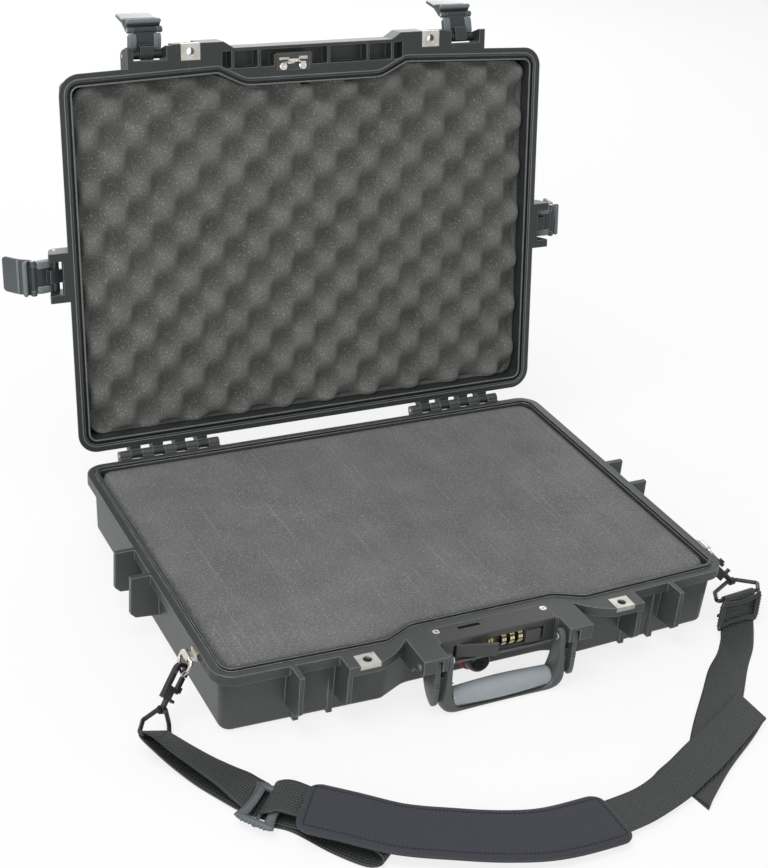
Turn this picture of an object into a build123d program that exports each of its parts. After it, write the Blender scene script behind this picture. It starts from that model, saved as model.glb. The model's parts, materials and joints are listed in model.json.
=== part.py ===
import os
from math import cos, radians, sin, tan

from build123d import *

os.makedirs("parts", exist_ok=True)

# Lengths are in millimetres, angles in degrees. X runs left to right seen from the handle,
# Y from the handle to the hinge, Z up. The origin is the middle of the flat bottom.

# ---------- case body ----------
rim_width = 513.0
rim_depth = 372.4
rim_corner = 20.0
corner_drop = 2.2
front_swell = 3.4
base_height = 64.0
lid_height = 56.0
wall = 4.0
draft = 2.5
lid_draft = 8.0
edge_round = 5.0
lid_round = 12.0
rim_overhang = 7.0
rim_inner = 11.2
base_lip = 9.5
lid_lip = 5.0
lid_lip_slope = 18.0
closing_gap = 0.4
lid_open_angle = 98.8

# ---------- notch in the front wall, which the lock sits in ----------
notch_outer = 98.0
notch_inner = 70.0
notch_depth = 13.5

# ---------- bead, groove and seal ----------
bead_inset = 8.2
bead_width = 2.4
bead_height = 2.6
groove_depth = 4.6
ledge_groove_inset = 6.2
ledge_groove_width = 1.2
ledge_groove_depth = 1.6

# ---------- foam ----------
foam_gap = 1.8
base_foam_top_drop = 0.6
base_pad_thickness = 8.0
lid_foam_thickness = 48.0

# ---------- hinge ----------
hinge_offset = 8.3
hinge_rise = 0.7
hinge_centre = 163.5
knuckle_count = 9
knuckle_pitch = 11.8
knuckle_gap = 0.5
knuckle_radius = 4.6
hinge_pin_radius = 1.6
running_fit = 0.06

# ---------- latches ----------
front_latch_x = 167.5
side_latch_y = 5.7
ear_gap = 32.4
front_ear_thickness = 6.0
side_ear_thickness = 8.0
ear_reach = 18.5
ear_height = 22.0
ear_pivot_out = 9.0
ear_pivot_up = 17.0
rib_gap = 40.0
rib_thickness = 4.5
rib_depth = 42.5
latch_pin_radius = 1.6
lever_pin_radius = 1.3
arm_length = 23.4
arm_barrel = 4.1
arm_plate = 4.4
arm_side_gap = 0.4
lever_width = 34.5
lever_straight = 16.0
lever_tip = 22.0
lever_plate = 3.8
lever_barrel = 3.0
lever_flare = 19.5
catch_height = 4.2
catch_gap = 0.5
catch_reach = 1.6
# how far each arm, and each lever on its arm, hangs open
arm_rest_angle = {"front_left": 82.0, "front_right": 103.0, "left": 73.0, "right": 88.0}
lever_rest_angle = {"front_left": 67.0, "front_right": 47.0, "left": 59.0, "right": 59.0}

# ---------- padlock plates ----------
plate_x = 127.5
plate_width = 19.0
plate_depth = 15.5
plate_fold = 4.2
plate_thickness = 1.4
padlock_radius = 4.0
block_front = 20.5
block_thickness = 9.0

# ---------- lock ----------
lock_front = 200.0
lock_half_width = 58.0
lock_height = 23.5
lock_floor = 2.0
lock_back = 178.0
lock_lip = 3.0
ear_outer_x = 84.0
ear_inner_x = 60.5
ear_front = 220.5
ear_drop = 15.0
lock_screw_x = 54.0
lock_screw_y = 183.0
screw_radius = 3.2
slot_x = -22.5
slot_width = 22.0
slot_y = 184.5
slot_depth = 16.0
slot_opening = 4.0
face_recess = 4.5
row_height = 13.4
row_drop = 12.4
dial_x = (5.4, 13.7, 22.0)
dial_radius = 7.0
dial_width = 4.6
dial_proud = 1.2
dial_pin_radius = 1.0
button_x = 34.0
button_width = 15.5
button_proud = 3.4
button_travel = 3.0
flap_x = -40.5
flap_length = 37.0
flap_thickness = 2.6
flap_rest_angle = 17.0
flap_pin_radius = 1.0
cylinder_x = -5.5
cylinder_radius = 2.6
fit_gap = 0.3

# ---------- strike on the lid ----------
strike_length = 34.0
strike_tongue = 20.0
strike_thickness = 1.8
strike_reach = 9.0
strike_screw_spread = 20.5

# ---------- valve ----------
valve_x = -8.0
valve_drop = 42.5
valve_radius = 15.0
valve_stem = 8.0
valve_ring = 4.5
valve_dome = 13.0

# ---------- handle ----------
handle_pivot_y = 212.5
handle_pivot_drop = 10.5
handle_leg_inner = 53.0
handle_leg_width = 6.6
handle_leg_bulge = 10.5
handle_leg_toe = 3.2
handle_prong_bulge = 17.0
handle_prong_x = 68.4
handle_prong_width = 4.6
handle_eye_radius = 6.5
handle_drop = 45.7
handle_web_drop = 15.0
handle_bar_height = 11.0
handle_bar_depth = 8.0
grip_half_length = 51.5
grip_drop = 42.0
handle_lip_radius = 13.3
grip_radius = 9.6
grip_back = 2.4
handle_pin_radius = 2.2

# ---------- strap rings, hooks and webbing ----------
ring_y = 136.0
ring_drop = 6.0
ring_out = 8.0
ring_wire = 1.6
ring_half_width = 10.5
ring_tilt = 22.0
bracket_width = 13.0
bracket_plate = 2.4
web_width = 38.0
web_thickness = 1.8
pad_thickness = 7.0

rim_z = base_height
hinge_y = rim_depth / 2 + hinge_offset
hinge_z = rim_z + hinge_rise
front_edge = rim_depth / 2
lid_rim_z = rim_z + closing_gap
lid_top_z = rim_z + lid_height

# everything on the lid is drawn closed and then swung open about the hinge
hinge_point = Vector(0, hinge_y, hinge_z)
lid_swing = Location(hinge_point) * Location((0, 0, 0), (-lid_open_angle, 0, 0)) * Location(-hinge_point)


def opened(plane):
    return Plane(lid_swing * plane.location)


def shifted(plane, x, y, z=0.0):
    return Plane(plane.location * Location((x, y, z)))


def turned(plane, angle):
    return Plane(plane.location * Location((0, 0, 0), (0, 0, angle)))


def rim_outline(inset=0.0):
    # the rim seen from above: straight back and sides, a front that swells towards a shallow notch
    half = rim_width / 2
    corner_y = -front_edge + corner_drop
    swell_y = -front_edge - front_swell
    corners = [
        (-half, front_edge),
        (-half, corner_y),
        (-notch_outer, swell_y),
        (-notch_inner, swell_y + notch_depth),
        (notch_inner, swell_y + notch_depth),
        (notch_outer, swell_y),
        (half, corner_y),
        (half, front_edge),
    ]
    with BuildSketch() as outline:
        with BuildLine():
            Polyline(*corners, close=True)
        make_face()
        fillet(outline.vertices(), rim_corner)
        if inset > 0:
            offset(amount=-inset, mode=Mode.REPLACE)
    return outline.sketch


def rim_band(outer_inset, width):
    with BuildSketch() as band:
        add(rim_outline(outer_inset))
        add(rim_outline(outer_inset + width), mode=Mode.SUBTRACT)
    return band.sketch


def latch_frames(level):
    # X points away from the case, Z up, at the rim edge beside each latch
    slope = corner_drop + front_swell
    run = rim_width / 2 - notch_outer
    lean = slope * (rim_width / 2 - front_latch_x) / run
    edge = front_edge - corner_drop + lean
    return {
        "front_left": Plane((-front_latch_x, -edge, level), x_dir=(0, -1, 0)),
        "front_right": Plane((front_latch_x, -edge, level), x_dir=(0, -1, 0)),
        "left": Plane((-rim_width / 2, side_latch_y, level), x_dir=(-1, 0, 0)),
        "right": Plane((rim_width / 2, side_latch_y, level), x_dir=(1, 0, 0)),
    }


def across(frame, along=0.0):
    # drawing plane across a latch frame: X away from the case, Y up, normal along the rim
    return Plane(frame.from_local_coords((0, along, 0)), x_dir=frame.x_dir, z_dir=-frame.y_dir)


def hinge_slots(first, step):
    centres = []
    for side in (-1, 1):
        for index in range(first, knuckle_count, step):
            offset_x = (index - (knuckle_count - 1) / 2) * knuckle_pitch
            centres.append(side * hinge_centre + offset_x)
    return centres


# ---------- base shell ----------
base_frames = latch_frames(rim_z)
base_taper = base_height * tan(radians(draft))
front_block_y = front_edge + block_front

with BuildPart() as base_shell:
    with BuildSketch():
        add(rim_outline(rim_overhang + base_taper))
    extrude(amount=base_height, taper=-draft)
    fillet(base_shell.edges().group_by(Axis.Z)[0], edge_round)
    # outer rim
    with BuildSketch(Plane.XY.offset(rim_z)):
        add(rim_outline())
    extrude(amount=-base_lip)
    # slabs that carry the padlock plates, each swept inward to the lock in an arc
    for side in (-1, 1):
        with BuildSketch(Plane.XY.offset(rim_z)):
            with BuildLine():
                rib_outer = front_latch_x - rib_gap / 2
                Line((side * rib_outer, -front_edge + 8), (side * rib_outer, -front_block_y))
                Line((side * rib_outer, -front_block_y), (side * (plate_x - plate_width / 2), -front_block_y))
                ThreePointArc(
                    (side * (plate_x - plate_width / 2), -front_block_y),
                    (side * (ear_outer_x + 14), -front_edge - 11),
                    (side * ear_outer_x, -front_edge + 2),
                )
                Line((side * ear_outer_x, -front_edge + 2), (side * ear_outer_x, -front_edge + 20))
                Line((side * ear_outer_x, -front_edge + 20), (side * rib_outer, -front_edge + 8))
            make_face()
        extrude(amount=-block_thickness)
    # lock box between the ears
    with BuildSketch(Plane.XY.offset(rim_z)):
        with Locations((0, -(lock_front + front_edge - 24) / 2)):
            Rectangle(2 * ear_outer_x, lock_front - front_edge + 24)
    extrude(amount=-lock_height)
    # ears that hold the handle
    ear_mid = (ear_outer_x + ear_inner_x) / 2
    ear_width = ear_outer_x - ear_inner_x
    for side in (-1, 1):
        with BuildSketch(Plane.YZ.offset(side * ear_mid)):
            with BuildLine():
                Polyline(
                    (-lock_front + 1, rim_z),
                    (-ear_front, rim_z),
                    (-ear_front, rim_z - ear_drop + 1),
                    (-ear_front + 1, rim_z - ear_drop),
                    (-lock_front - 4, rim_z - ear_drop - 2),
                    (-lock_front + 1, rim_z - lock_height),
                    close=True,
                )
            make_face()
        extrude(amount=ear_width / 2, both=True)
    # side and front ribs that the closed latches lie between
    for frame in base_frames.values():
        for along in (-1, 1):
            with BuildSketch(across(frame, along * (rib_gap + rib_thickness) / 2)):
                with BuildLine():
                    Polyline(
                        (-rim_overhang - 2.5, 0),
                        (ear_reach, 0),
                        (ear_reach, -rib_depth + 5),
                        (ear_reach - 5, -rib_depth),
                        (-rim_overhang - 2.5, -rib_depth - 2),
                        close=True,
                    )
                make_face()
            extrude(amount=rib_thickness / 2, both=True)
    # low strips down the front and back walls, flat with the bottom
    strip_x = (front_latch_x - 17.5, front_latch_x + 14.0)
    for side in (-1, 1):
        for x in strip_x:
            for face in (-1, 1):
                with BuildSketch(Plane((side * x, face * (front_edge - 9.6), 0))):
                    Rectangle(5, 6)
                extrude(amount=base_height - base_lip)
    # hinge webs and knuckles
    for x in hinge_slots(0, 2):
        with BuildSketch(Plane.YZ.offset(x)):
            with BuildLine():
                Polyline(
                    (front_edge - 8, rim_z - 0.2),
                    (hinge_y, rim_z - 0.2),
                    (hinge_y + knuckle_radius - 0.6, rim_z - 2.2),
                    (hinge_y + 1, rim_z - 7),
                    (front_edge - 8, rim_z - 26),
                    close=True,
                )
            make_face()
            with Locations((hinge_y, hinge_z)):
                Circle(knuckle_radius)
        extrude(amount=(knuckle_pitch - knuckle_gap) / 2, both=True)
    with BuildSketch(*[Plane.YZ.offset(x) for x in hinge_slots(0, 2)]):
        with Locations((hinge_y, hinge_z)):
            Circle(hinge_pin_radius)
    extrude(amount=knuckle_pitch / 2, both=True, mode=Mode.SUBTRACT)
    # inside of the shell
    with BuildSketch(Plane.XY.offset(wall)):
        add(rim_outline(rim_inner + (base_height - wall) * tan(radians(draft))))
    extrude(amount=base_height, taper=-draft, mode=Mode.SUBTRACT)
    # bead and groove along the rim
    with BuildSketch(Plane.XY.offset(rim_z)):
        add(rim_band(bead_inset, bead_width))
    extrude(amount=bead_height)
    with BuildSketch(Plane.XY.offset(rim_z)):
        add(rim_band(ledge_groove_inset, ledge_groove_width))
    extrude(amount=-ledge_groove_depth, mode=Mode.SUBTRACT)
    # seats of the padlock plates, and their holes
    for side in (-1, 1):
        with BuildSketch(Plane.XY.offset(rim_z)):
            with Locations((side * plate_x, -front_block_y + plate_depth / 2)):
                Rectangle(plate_width, plate_depth)
        extrude(amount=-plate_thickness, mode=Mode.SUBTRACT)
        with BuildSketch(Plane.XY.offset(rim_z)):
            with Locations((side * plate_x, -front_block_y + plate_thickness / 2)):
                Rectangle(plate_width, plate_thickness)
        extrude(amount=-plate_fold, mode=Mode.SUBTRACT)
        with BuildSketch(Plane.XY.offset(rim_z)):
            with Locations((side * plate_x, -front_block_y + plate_depth / 2)):
                Circle(padlock_radius)
        extrude(amount=-block_thickness - 1, mode=Mode.SUBTRACT)
    # a thin lip under the lock, and room for the lock body
    with BuildSketch(Plane.XY.offset(rim_z - lock_height)):
        with Locations((0, -lock_front)):
            Rectangle(2 * lock_half_width, 2 * lock_lip)
    extrude(amount=lock_floor)
    with BuildSketch(Plane.XY.offset(rim_z)):
        with Locations((0, -(lock_front + lock_lip + lock_back) / 2)):
            Rectangle(2 * lock_half_width, lock_front + lock_lip - lock_back)
    extrude(amount=-lock_height + lock_floor, mode=Mode.SUBTRACT)
    # slots in the ears for the outer prongs, and bores for the handle pins
    for side in (-1, 1):
        with BuildSketch(Plane.YZ.offset(side * handle_prong_x)):
            with Locations((-lock_front - 12, rim_z - 14.0)):
                Rectangle(26, 22)
        extrude(amount=handle_prong_width / 2 + 0.5, both=True, mode=Mode.SUBTRACT)
        with BuildSketch(Plane.YZ.offset(side * ear_mid)):
            with Locations((-handle_pivot_y, rim_z - handle_pivot_drop)):
                Circle(handle_pin_radius)
        extrude(amount=ear_width, both=True, mode=Mode.SUBTRACT)
    # seat of the valve in the notch wall
    with BuildSketch(Plane((valve_x, 0, rim_z - valve_drop), x_dir=(1, 0, 0), z_dir=(0, -1, 0))):
        Circle(valve_stem)
    extrude(amount=front_edge, mode=Mode.SUBTRACT)
base_shell.part.label = "base_shell"
export_step(base_shell.part, "parts/base_shell.step")

# ---------- foam and hinge pins of the base ----------
pluck_bottom = wall + base_pad_thickness
pluck_depth = base_height - base_foam_top_drop - pluck_bottom

with BuildPart() as base_foam_pad:
    with BuildSketch(Plane.XY.offset(wall)):
        add(rim_outline(rim_inner + foam_gap + (base_height - wall) * tan(radians(draft))))
    extrude(amount=base_pad_thickness)
base_foam_pad.part.label = "base_foam_pad"
export_step(base_foam_pad.part, "parts/base_foam_pad.step")

with BuildPart() as base_foam_pluck:
    with BuildSketch(Plane.XY.offset(pluck_bottom)):
        add(rim_outline(rim_inner + foam_gap + pluck_depth * tan(radians(draft))))
    extrude(amount=pluck_depth, taper=-draft)
base_foam_pluck.part.label = "base_foam_pluck"
export_step(base_foam_pluck.part, "parts/base_foam_pluck.step")

with BuildPart() as hinge_pins:
    with BuildSketch(*[Plane((side * hinge_centre, hinge_y, hinge_z), x_dir=(0, 1, 0), z_dir=(1, 0, 0)) for side in (-1, 1)]):
        Circle(hinge_pin_radius)
    extrude(amount=(knuckle_count * knuckle_pitch - knuckle_gap) / 2, both=True)
hinge_pins.part.label = "hinge_pins"
export_step(hinge_pins.part, "parts/hinge_pins.step")


# ---------- padlock plates ----------
def padlock_plate_sketch(side, hole):
    with BuildSketch() as plate:
        with Locations((side * plate_x, -front_block_y + plate_depth / 2)):
            Rectangle(plate_width, plate_depth)
            if hole:
                Circle(padlock_radius, mode=Mode.SUBTRACT)
    return plate.sketch


def padlock_fold_sketch(side):
    with BuildSketch() as fold:
        with Locations((side * plate_x, -front_block_y + plate_thickness / 2)):
            Rectangle(plate_width, plate_thickness)
    return fold.sketch


with BuildPart() as base_padlock_plates:
    for side in (-1, 1):
        with BuildSketch(Plane.XY.offset(rim_z)):
            add(padlock_plate_sketch(side, True))
        extrude(amount=-plate_thickness)
        with BuildSketch(Plane.XY.offset(rim_z)):
            add(padlock_fold_sketch(side))
        extrude(amount=-plate_fold)
base_padlock_plates.part.label = "base_padlock_plates"
export_step(base_padlock_plates.part, "parts/base_padlock_plates.step")

# ---------- lock ----------
row_z = rim_z - row_drop
recess_floor_y = -lock_front + face_recess
dial_y = -lock_front - dial_proud + dial_radius
dial_side_gap = 0.5
dial_pocket_left = dial_x[0] - dial_width / 2 - dial_side_gap
dial_pocket_right = dial_x[-1] + dial_width / 2 + dial_side_gap
dial_pocket_width = dial_pocket_right - dial_pocket_left
dial_pocket_x = (dial_pocket_left + dial_pocket_right) / 2
recess_left = flap_x - 4.5
recess_right = button_x + button_width / 2 + 4.5
flap_y = -lock_front + flap_thickness / 2
housing_height = lock_height - lock_floor

with BuildPart() as lock_housing:
    with BuildSketch(Plane.XY.offset(rim_z - housing_height)):
        with Locations((0, -(lock_front + lock_back) / 2)):
            Rectangle(2 * (lock_half_width - fit_gap), lock_front - lock_back)
    extrude(amount=housing_height)
    top_front = lock_housing.edges().filter_by(Axis.X).group_by(Axis.Y)[0].sort_by(Axis.Z)[-1]
    fillet(top_front, 1.2)
    # slot for the strike
    with BuildSketch(Plane.XY.offset(rim_z)):
        with Locations((slot_x, -slot_y)):
            Rectangle(slot_width, slot_opening)
    extrude(amount=-slot_depth, mode=Mode.SUBTRACT)
    # sunk face for flap, dials and button
    with BuildSketch(Plane((0, -lock_front, row_z), x_dir=(1, 0, 0), z_dir=(0, -1, 0))):
        with Locations(((recess_left + recess_right) / 2, 0)):
            Rectangle(recess_right - recess_left, row_height)
    extrude(amount=-face_recess, mode=Mode.SUBTRACT)
    with BuildSketch(Plane((0, -lock_front, row_z), x_dir=(1, 0, 0), z_dir=(0, -1, 0))):
        with Locations((dial_pocket_x, 0)):
            Rectangle(dial_pocket_width, row_height)
    extrude(amount=dial_proud - 2 * dial_radius - dial_side_gap, mode=Mode.SUBTRACT)
    with BuildSketch(Plane.YZ.offset(dial_pocket_left)):
        with Locations((dial_y, row_z)):
            Circle(dial_radius + 0.3)
    extrude(amount=dial_pocket_width, mode=Mode.SUBTRACT)
    # bores for the axle of the dials, the flap's pin and the key cylinder
    with BuildSketch(Plane.YZ.offset(dial_pocket_left - 1.2)):
        with Locations((dial_y, row_z)):
            Circle(dial_pin_radius)
    extrude(amount=dial_pocket_width + 2.4, mode=Mode.SUBTRACT)
    with BuildSketch(Plane.XY.offset(row_z + row_height / 2 + 3)):
        with Locations((flap_x, flap_y)):
            Circle(flap_pin_radius)
    extrude(amount=-row_height - 3.6, mode=Mode.SUBTRACT)
    with BuildSketch(Plane((cylinder_x, recess_floor_y, row_z), x_dir=(1, 0, 0), z_dir=(0, -1, 0))):
        Circle(cylinder_radius)
    extrude(amount=-6, mode=Mode.SUBTRACT)
    # way of the button
    with BuildSketch(Plane((button_x, recess_floor_y, row_z), x_dir=(1, 0, 0), z_dir=(0, -1, 0))):
        Rectangle(button_width + 2 * fit_gap, row_height)
    extrude(amount=-button_travel - 4, mode=Mode.SUBTRACT)
    with Locations((-lock_screw_x, -lock_screw_y, rim_z), (lock_screw_x, -lock_screw_y, rim_z)):
        CounterBoreHole(screw_radius / 2, screw_radius, 2, 14)
lock_housing.part.label = "lock_housing"
export_step(lock_housing.part, "parts/lock_housing.step")

with BuildPart() as lock_screws:
    for side in (-1, 1):
        with BuildSketch(Plane((side * lock_screw_x, -lock_screw_y, rim_z))):
            Circle(screw_radius)
        extrude(amount=-2)
        with BuildSketch(Plane((side * lock_screw_x, -lock_screw_y, rim_z))):
            Circle(screw_radius / 2)
        extrude(amount=-14)
        with BuildSketch(Plane((side * lock_screw_x, -lock_screw_y, rim_z))):
            Rectangle(1.0, screw_radius * 1.4)
            Rectangle(screw_radius * 1.4, 1.0)
        extrude(amount=-1, mode=Mode.SUBTRACT)
lock_screws.part.label = "lock_screws"
export_step(lock_screws.part, "parts/lock_screws.step")

with BuildPart() as lock_cylinder:
    with BuildSketch(Plane((cylinder_x, recess_floor_y, row_z), x_dir=(1, 0, 0), z_dir=(0, -1, 0))):
        Circle(cylinder_radius)
    extrude(amount=-6)
    with BuildSketch(Plane((cylinder_x, recess_floor_y, row_z), x_dir=(1, 0, 0), z_dir=(0, -1, 0))):
        Circle(cylinder_radius)
    extrude(amount=1)
    with BuildSketch(Plane((cylinder_x, recess_floor_y - 1, row_z), x_dir=(1, 0, 0), z_dir=(0, -1, 0))):
        Rectangle(0.8, cylinder_radius * 1.3)
    extrude(amount=-1.5, mode=Mode.SUBTRACT)
lock_cylinder.part.label = "lock_cylinder"
export_step(lock_cylinder.part, "parts/lock_cylinder.step")

with BuildPart() as dial_axle:
    with BuildSketch(Plane.YZ.offset(dial_pocket_left - 1.2)):
        with Locations((dial_y, row_z)):
            Circle(dial_pin_radius)
    extrude(amount=dial_pocket_width + 2.4)
dial_axle.part.label = "dial_axle"
export_step(dial_axle.part, "parts/dial_axle.step")

with BuildPart() as flap_pin:
    with BuildSketch(Plane.XY.offset(row_z + row_height / 2 + 3)):
        with Locations((flap_x, flap_y)):
            Circle(flap_pin_radius)
    extrude(amount=-row_height - 3.6)
flap_pin.part.label = "flap_pin"
export_step(flap_pin.part, "parts/flap_pin.step")

for index, x in enumerate(dial_x):
    with BuildPart() as dial:
        with BuildSketch(Plane((x, dial_y, row_z), x_dir=(0, 1, 0), z_dir=(1, 0, 0))):
            Circle(dial_radius)
            with PolarLocations(dial_radius + 0.1, 10, start_angle=18):
                Circle(0.6, mode=Mode.SUBTRACT)
            Circle(dial_pin_radius + running_fit, mode=Mode.SUBTRACT)
        extrude(amount=dial_width / 2, both=True)
    dial.part.label = f"dial_{index + 1}"
    export_step(dial.part, f"parts/dial_{index + 1}.step")

with BuildPart() as lock_button:
    with BuildSketch(Plane((button_x, -lock_front - button_proud, row_z), x_dir=(1, 0, 0), z_dir=(0, -1, 0))):
        RectangleRounded(button_width, row_height - 2 * fit_gap, 1.5)
    extrude(amount=-button_proud - face_recess - 3.5)
    fillet(lock_button.faces().sort_by(Axis.Y)[0].edges(), 1.0)
lock_button.part.label = "lock_button"
export_step(lock_button.part, "parts/lock_button.step")

flap_plane = Plane((flap_x, flap_y, row_z)).rotated((0, 0, -flap_rest_angle))
with BuildPart() as lock_flap:
    with BuildSketch(flap_plane.offset(-row_height / 2 + fit_gap)):
        Circle(flap_thickness / 2)
        with Locations((flap_length / 2, 0)):
            Rectangle(flap_length, flap_thickness)
        Circle(flap_pin_radius + running_fit - 0.02, mode=Mode.SUBTRACT)
    extrude(amount=row_height - 2 * fit_gap)
    fillet(lock_flap.edges().filter_by(Axis.Z).sort_by(Axis.X)[-2:], 0.8)
lock_flap.part.label = "lock_flap"
export_step(lock_flap.part, "parts/lock_flap.step")

# ---------- pressure valve ----------
valve_z = rim_z - valve_drop
notch_y = -front_edge - front_swell + notch_depth
valve_seat = notch_y + rim_overhang + (valve_drop - valve_radius) * tan(radians(draft)) - 0.1
valve_plane = Plane((valve_x, valve_seat, valve_z), x_dir=(1, 0, 0), z_dir=(0, -1, 0))

with BuildPart() as valve_collar:
    with BuildSketch(valve_plane):
        Circle(valve_radius)
        Circle(valve_stem, mode=Mode.SUBTRACT)
    extrude(amount=valve_ring)
valve_collar.part.label = "valve_collar"
export_step(valve_collar.part, "parts/valve_collar.step")

with BuildPart() as valve_cap:
    with BuildSketch(valve_plane.offset(valve_ring)):
        Circle(valve_radius)
    extrude(amount=valve_dome)
    fillet(valve_cap.faces().sort_by(Axis.Y)[0].edges(), 6.0)
    with BuildSketch(valve_plane.offset(valve_ring)):
        Circle(valve_stem)
    extrude(amount=-valve_ring - 3.6)
valve_cap.part.label = "valve_cap"
export_step(valve_cap.part, "parts/valve_cap.step")

# ---------- handle ----------
pivot_z = rim_z - handle_pivot_drop
leg_middle = handle_leg_inner + handle_leg_width / 2
grip_z = pivot_z - grip_drop
grip_y = -handle_pivot_y + grip_back


def handle_side(bulge, toe, drop):
    # side of a leg seen along X, drawn from the pivot: straight front, back swollen near the grip
    radius = handle_eye_radius
    with BuildSketch() as side_face:
        with BuildLine():
            Line((0, 0), (-radius, 0))
            Line((-radius, 0), (-radius - toe, -drop + 4))
            ThreePointArc((-radius - toe, -drop + 4), (-radius - toe + 1.2, -drop + 1), (-2, -drop))
            Spline((-2, -drop), (bulge - 5, -drop + 7), (bulge, -25), (radius + 0.5, -11), (radius, 0))
            Line((radius, 0), (0, 0))
        make_face()
        Circle(radius)
    return side_face.sketch


with BuildPart() as handle_pins:
    for side in (-1, 1):
        with BuildSketch(Plane.YZ.offset(side * (handle_leg_inner - 0.4))):
            with Locations((-handle_pivot_y, pivot_z)):
                Circle(handle_pin_radius)
        extrude(amount=side * (ear_outer_x - handle_leg_inner + 0.4))
        with BuildSketch(Plane.YZ.offset(side * (handle_leg_inner - 0.4))):
            with Locations((-handle_pivot_y, pivot_z)):
                Circle(3.2)
        extrude(amount=-side * 1.0)
        with BuildSketch(Plane.YZ.offset(side * ear_outer_x)):
            with Locations((-handle_pivot_y, pivot_z)):
                Circle(2.9)
        extrude(amount=side * 0.8)
handle_pins.part.label = "handle_pins"
export_step(handle_pins.part, "parts/handle_pins.step")

with BuildPart() as handle_frame:
    for side in (-1, 1):
        # inner leg, outer prong, and the thin web set back between them
        with BuildSketch(Plane((side * leg_middle, -handle_pivot_y, pivot_z), x_dir=(0, 1, 0), z_dir=(1, 0, 0))):
            add(handle_side(handle_leg_bulge, handle_leg_toe, handle_drop))
        extrude(amount=handle_leg_width / 2, both=True)
        with BuildSketch(Plane((side * handle_prong_x, -handle_pivot_y, pivot_z), x_dir=(0, 1, 0), z_dir=(1, 0, 0))):
            add(handle_side(handle_prong_bulge, 0, handle_drop - 3))
        extrude(amount=handle_prong_width / 2, both=True)
        web_middle = (leg_middle + handle_prong_x) / 2
        with BuildSketch(Plane.YZ.offset(side * web_middle)):
            with Locations((-handle_pivot_y + 2, pivot_z - (handle_web_drop + handle_drop - 4) / 2)):
                Rectangle(6, handle_drop - 4 - handle_web_drop)
        extrude(amount=(handle_prong_x - leg_middle) / 2, both=True)
    # bar inside the grip
    with BuildSketch(Plane.YZ):
        with Locations((grip_y, grip_z)):
            Rectangle(handle_bar_depth, handle_bar_height)
    extrude(amount=handle_leg_inner + 1, both=True)
    # lip under the front of the grip, higher at the legs
    for length, low in ((handle_leg_inner, 0.2), (handle_leg_inner + handle_leg_width, 7.0)):
        with BuildSketch(Plane.YZ):
            with Locations((grip_y, grip_z)):
                Circle(handle_lip_radius)
                Circle(grip_radius + 0.3, mode=Mode.SUBTRACT)
            with Locations((grip_y - 2 - handle_lip_radius / 2, (low + grip_z - 1) / 2)):
                Rectangle(handle_lip_radius, grip_z - 1 - low, mode=Mode.INTERSECT)
        extrude(amount=length, both=True)
    # bores
    with BuildSketch(Plane.YZ):
        with Locations((-handle_pivot_y, pivot_z)):
            Circle(handle_pin_radius + running_fit)
    extrude(amount=ear_outer_x, both=True, mode=Mode.SUBTRACT)
handle_frame.part.label = "handle_frame"
export_step(handle_frame.part, "parts/handle_frame.step")

with BuildPart() as handle_grip:
    with BuildSketch(Plane.YZ):
        with Locations((grip_y, grip_z)):
            Circle(grip_radius)
    extrude(amount=grip_half_length, both=True)
    fillet(handle_grip.edges().filter_by(GeomType.CIRCLE), 3)
    with BuildSketch(Plane.YZ):
        with Locations((grip_y, grip_z)):
            Rectangle(handle_bar_depth, handle_bar_height)
    extrude(amount=grip_half_length, both=True, mode=Mode.SUBTRACT)
handle_grip.part.label = "handle_grip"
export_step(handle_grip.part, "parts/handle_grip.step")

# ---------- lid shell ----------
lid_inner = bead_inset + bead_width + 1.8
lid_frames = latch_frames(rim_z)
groove_clearance = 0.3
lid_block_height = 20.0
trough_height = 13.0
skirt_thickness = 3.0
skirt_y = -lock_front - 0.4
rib_x = (-ear_outer_x - 1, -lock_half_width, 15.4, lock_half_width, ear_outer_x + 1)
ear_outer = front_latch_x - ear_gap / 2 - front_ear_thickness
ear_thicknesses = dict.fromkeys(("front_left", "front_right"), front_ear_thickness)
ear_thicknesses.update(dict.fromkeys(("left", "right"), side_ear_thickness))
boss_width = strike_length + 5.6
boss_x = slot_x

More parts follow.
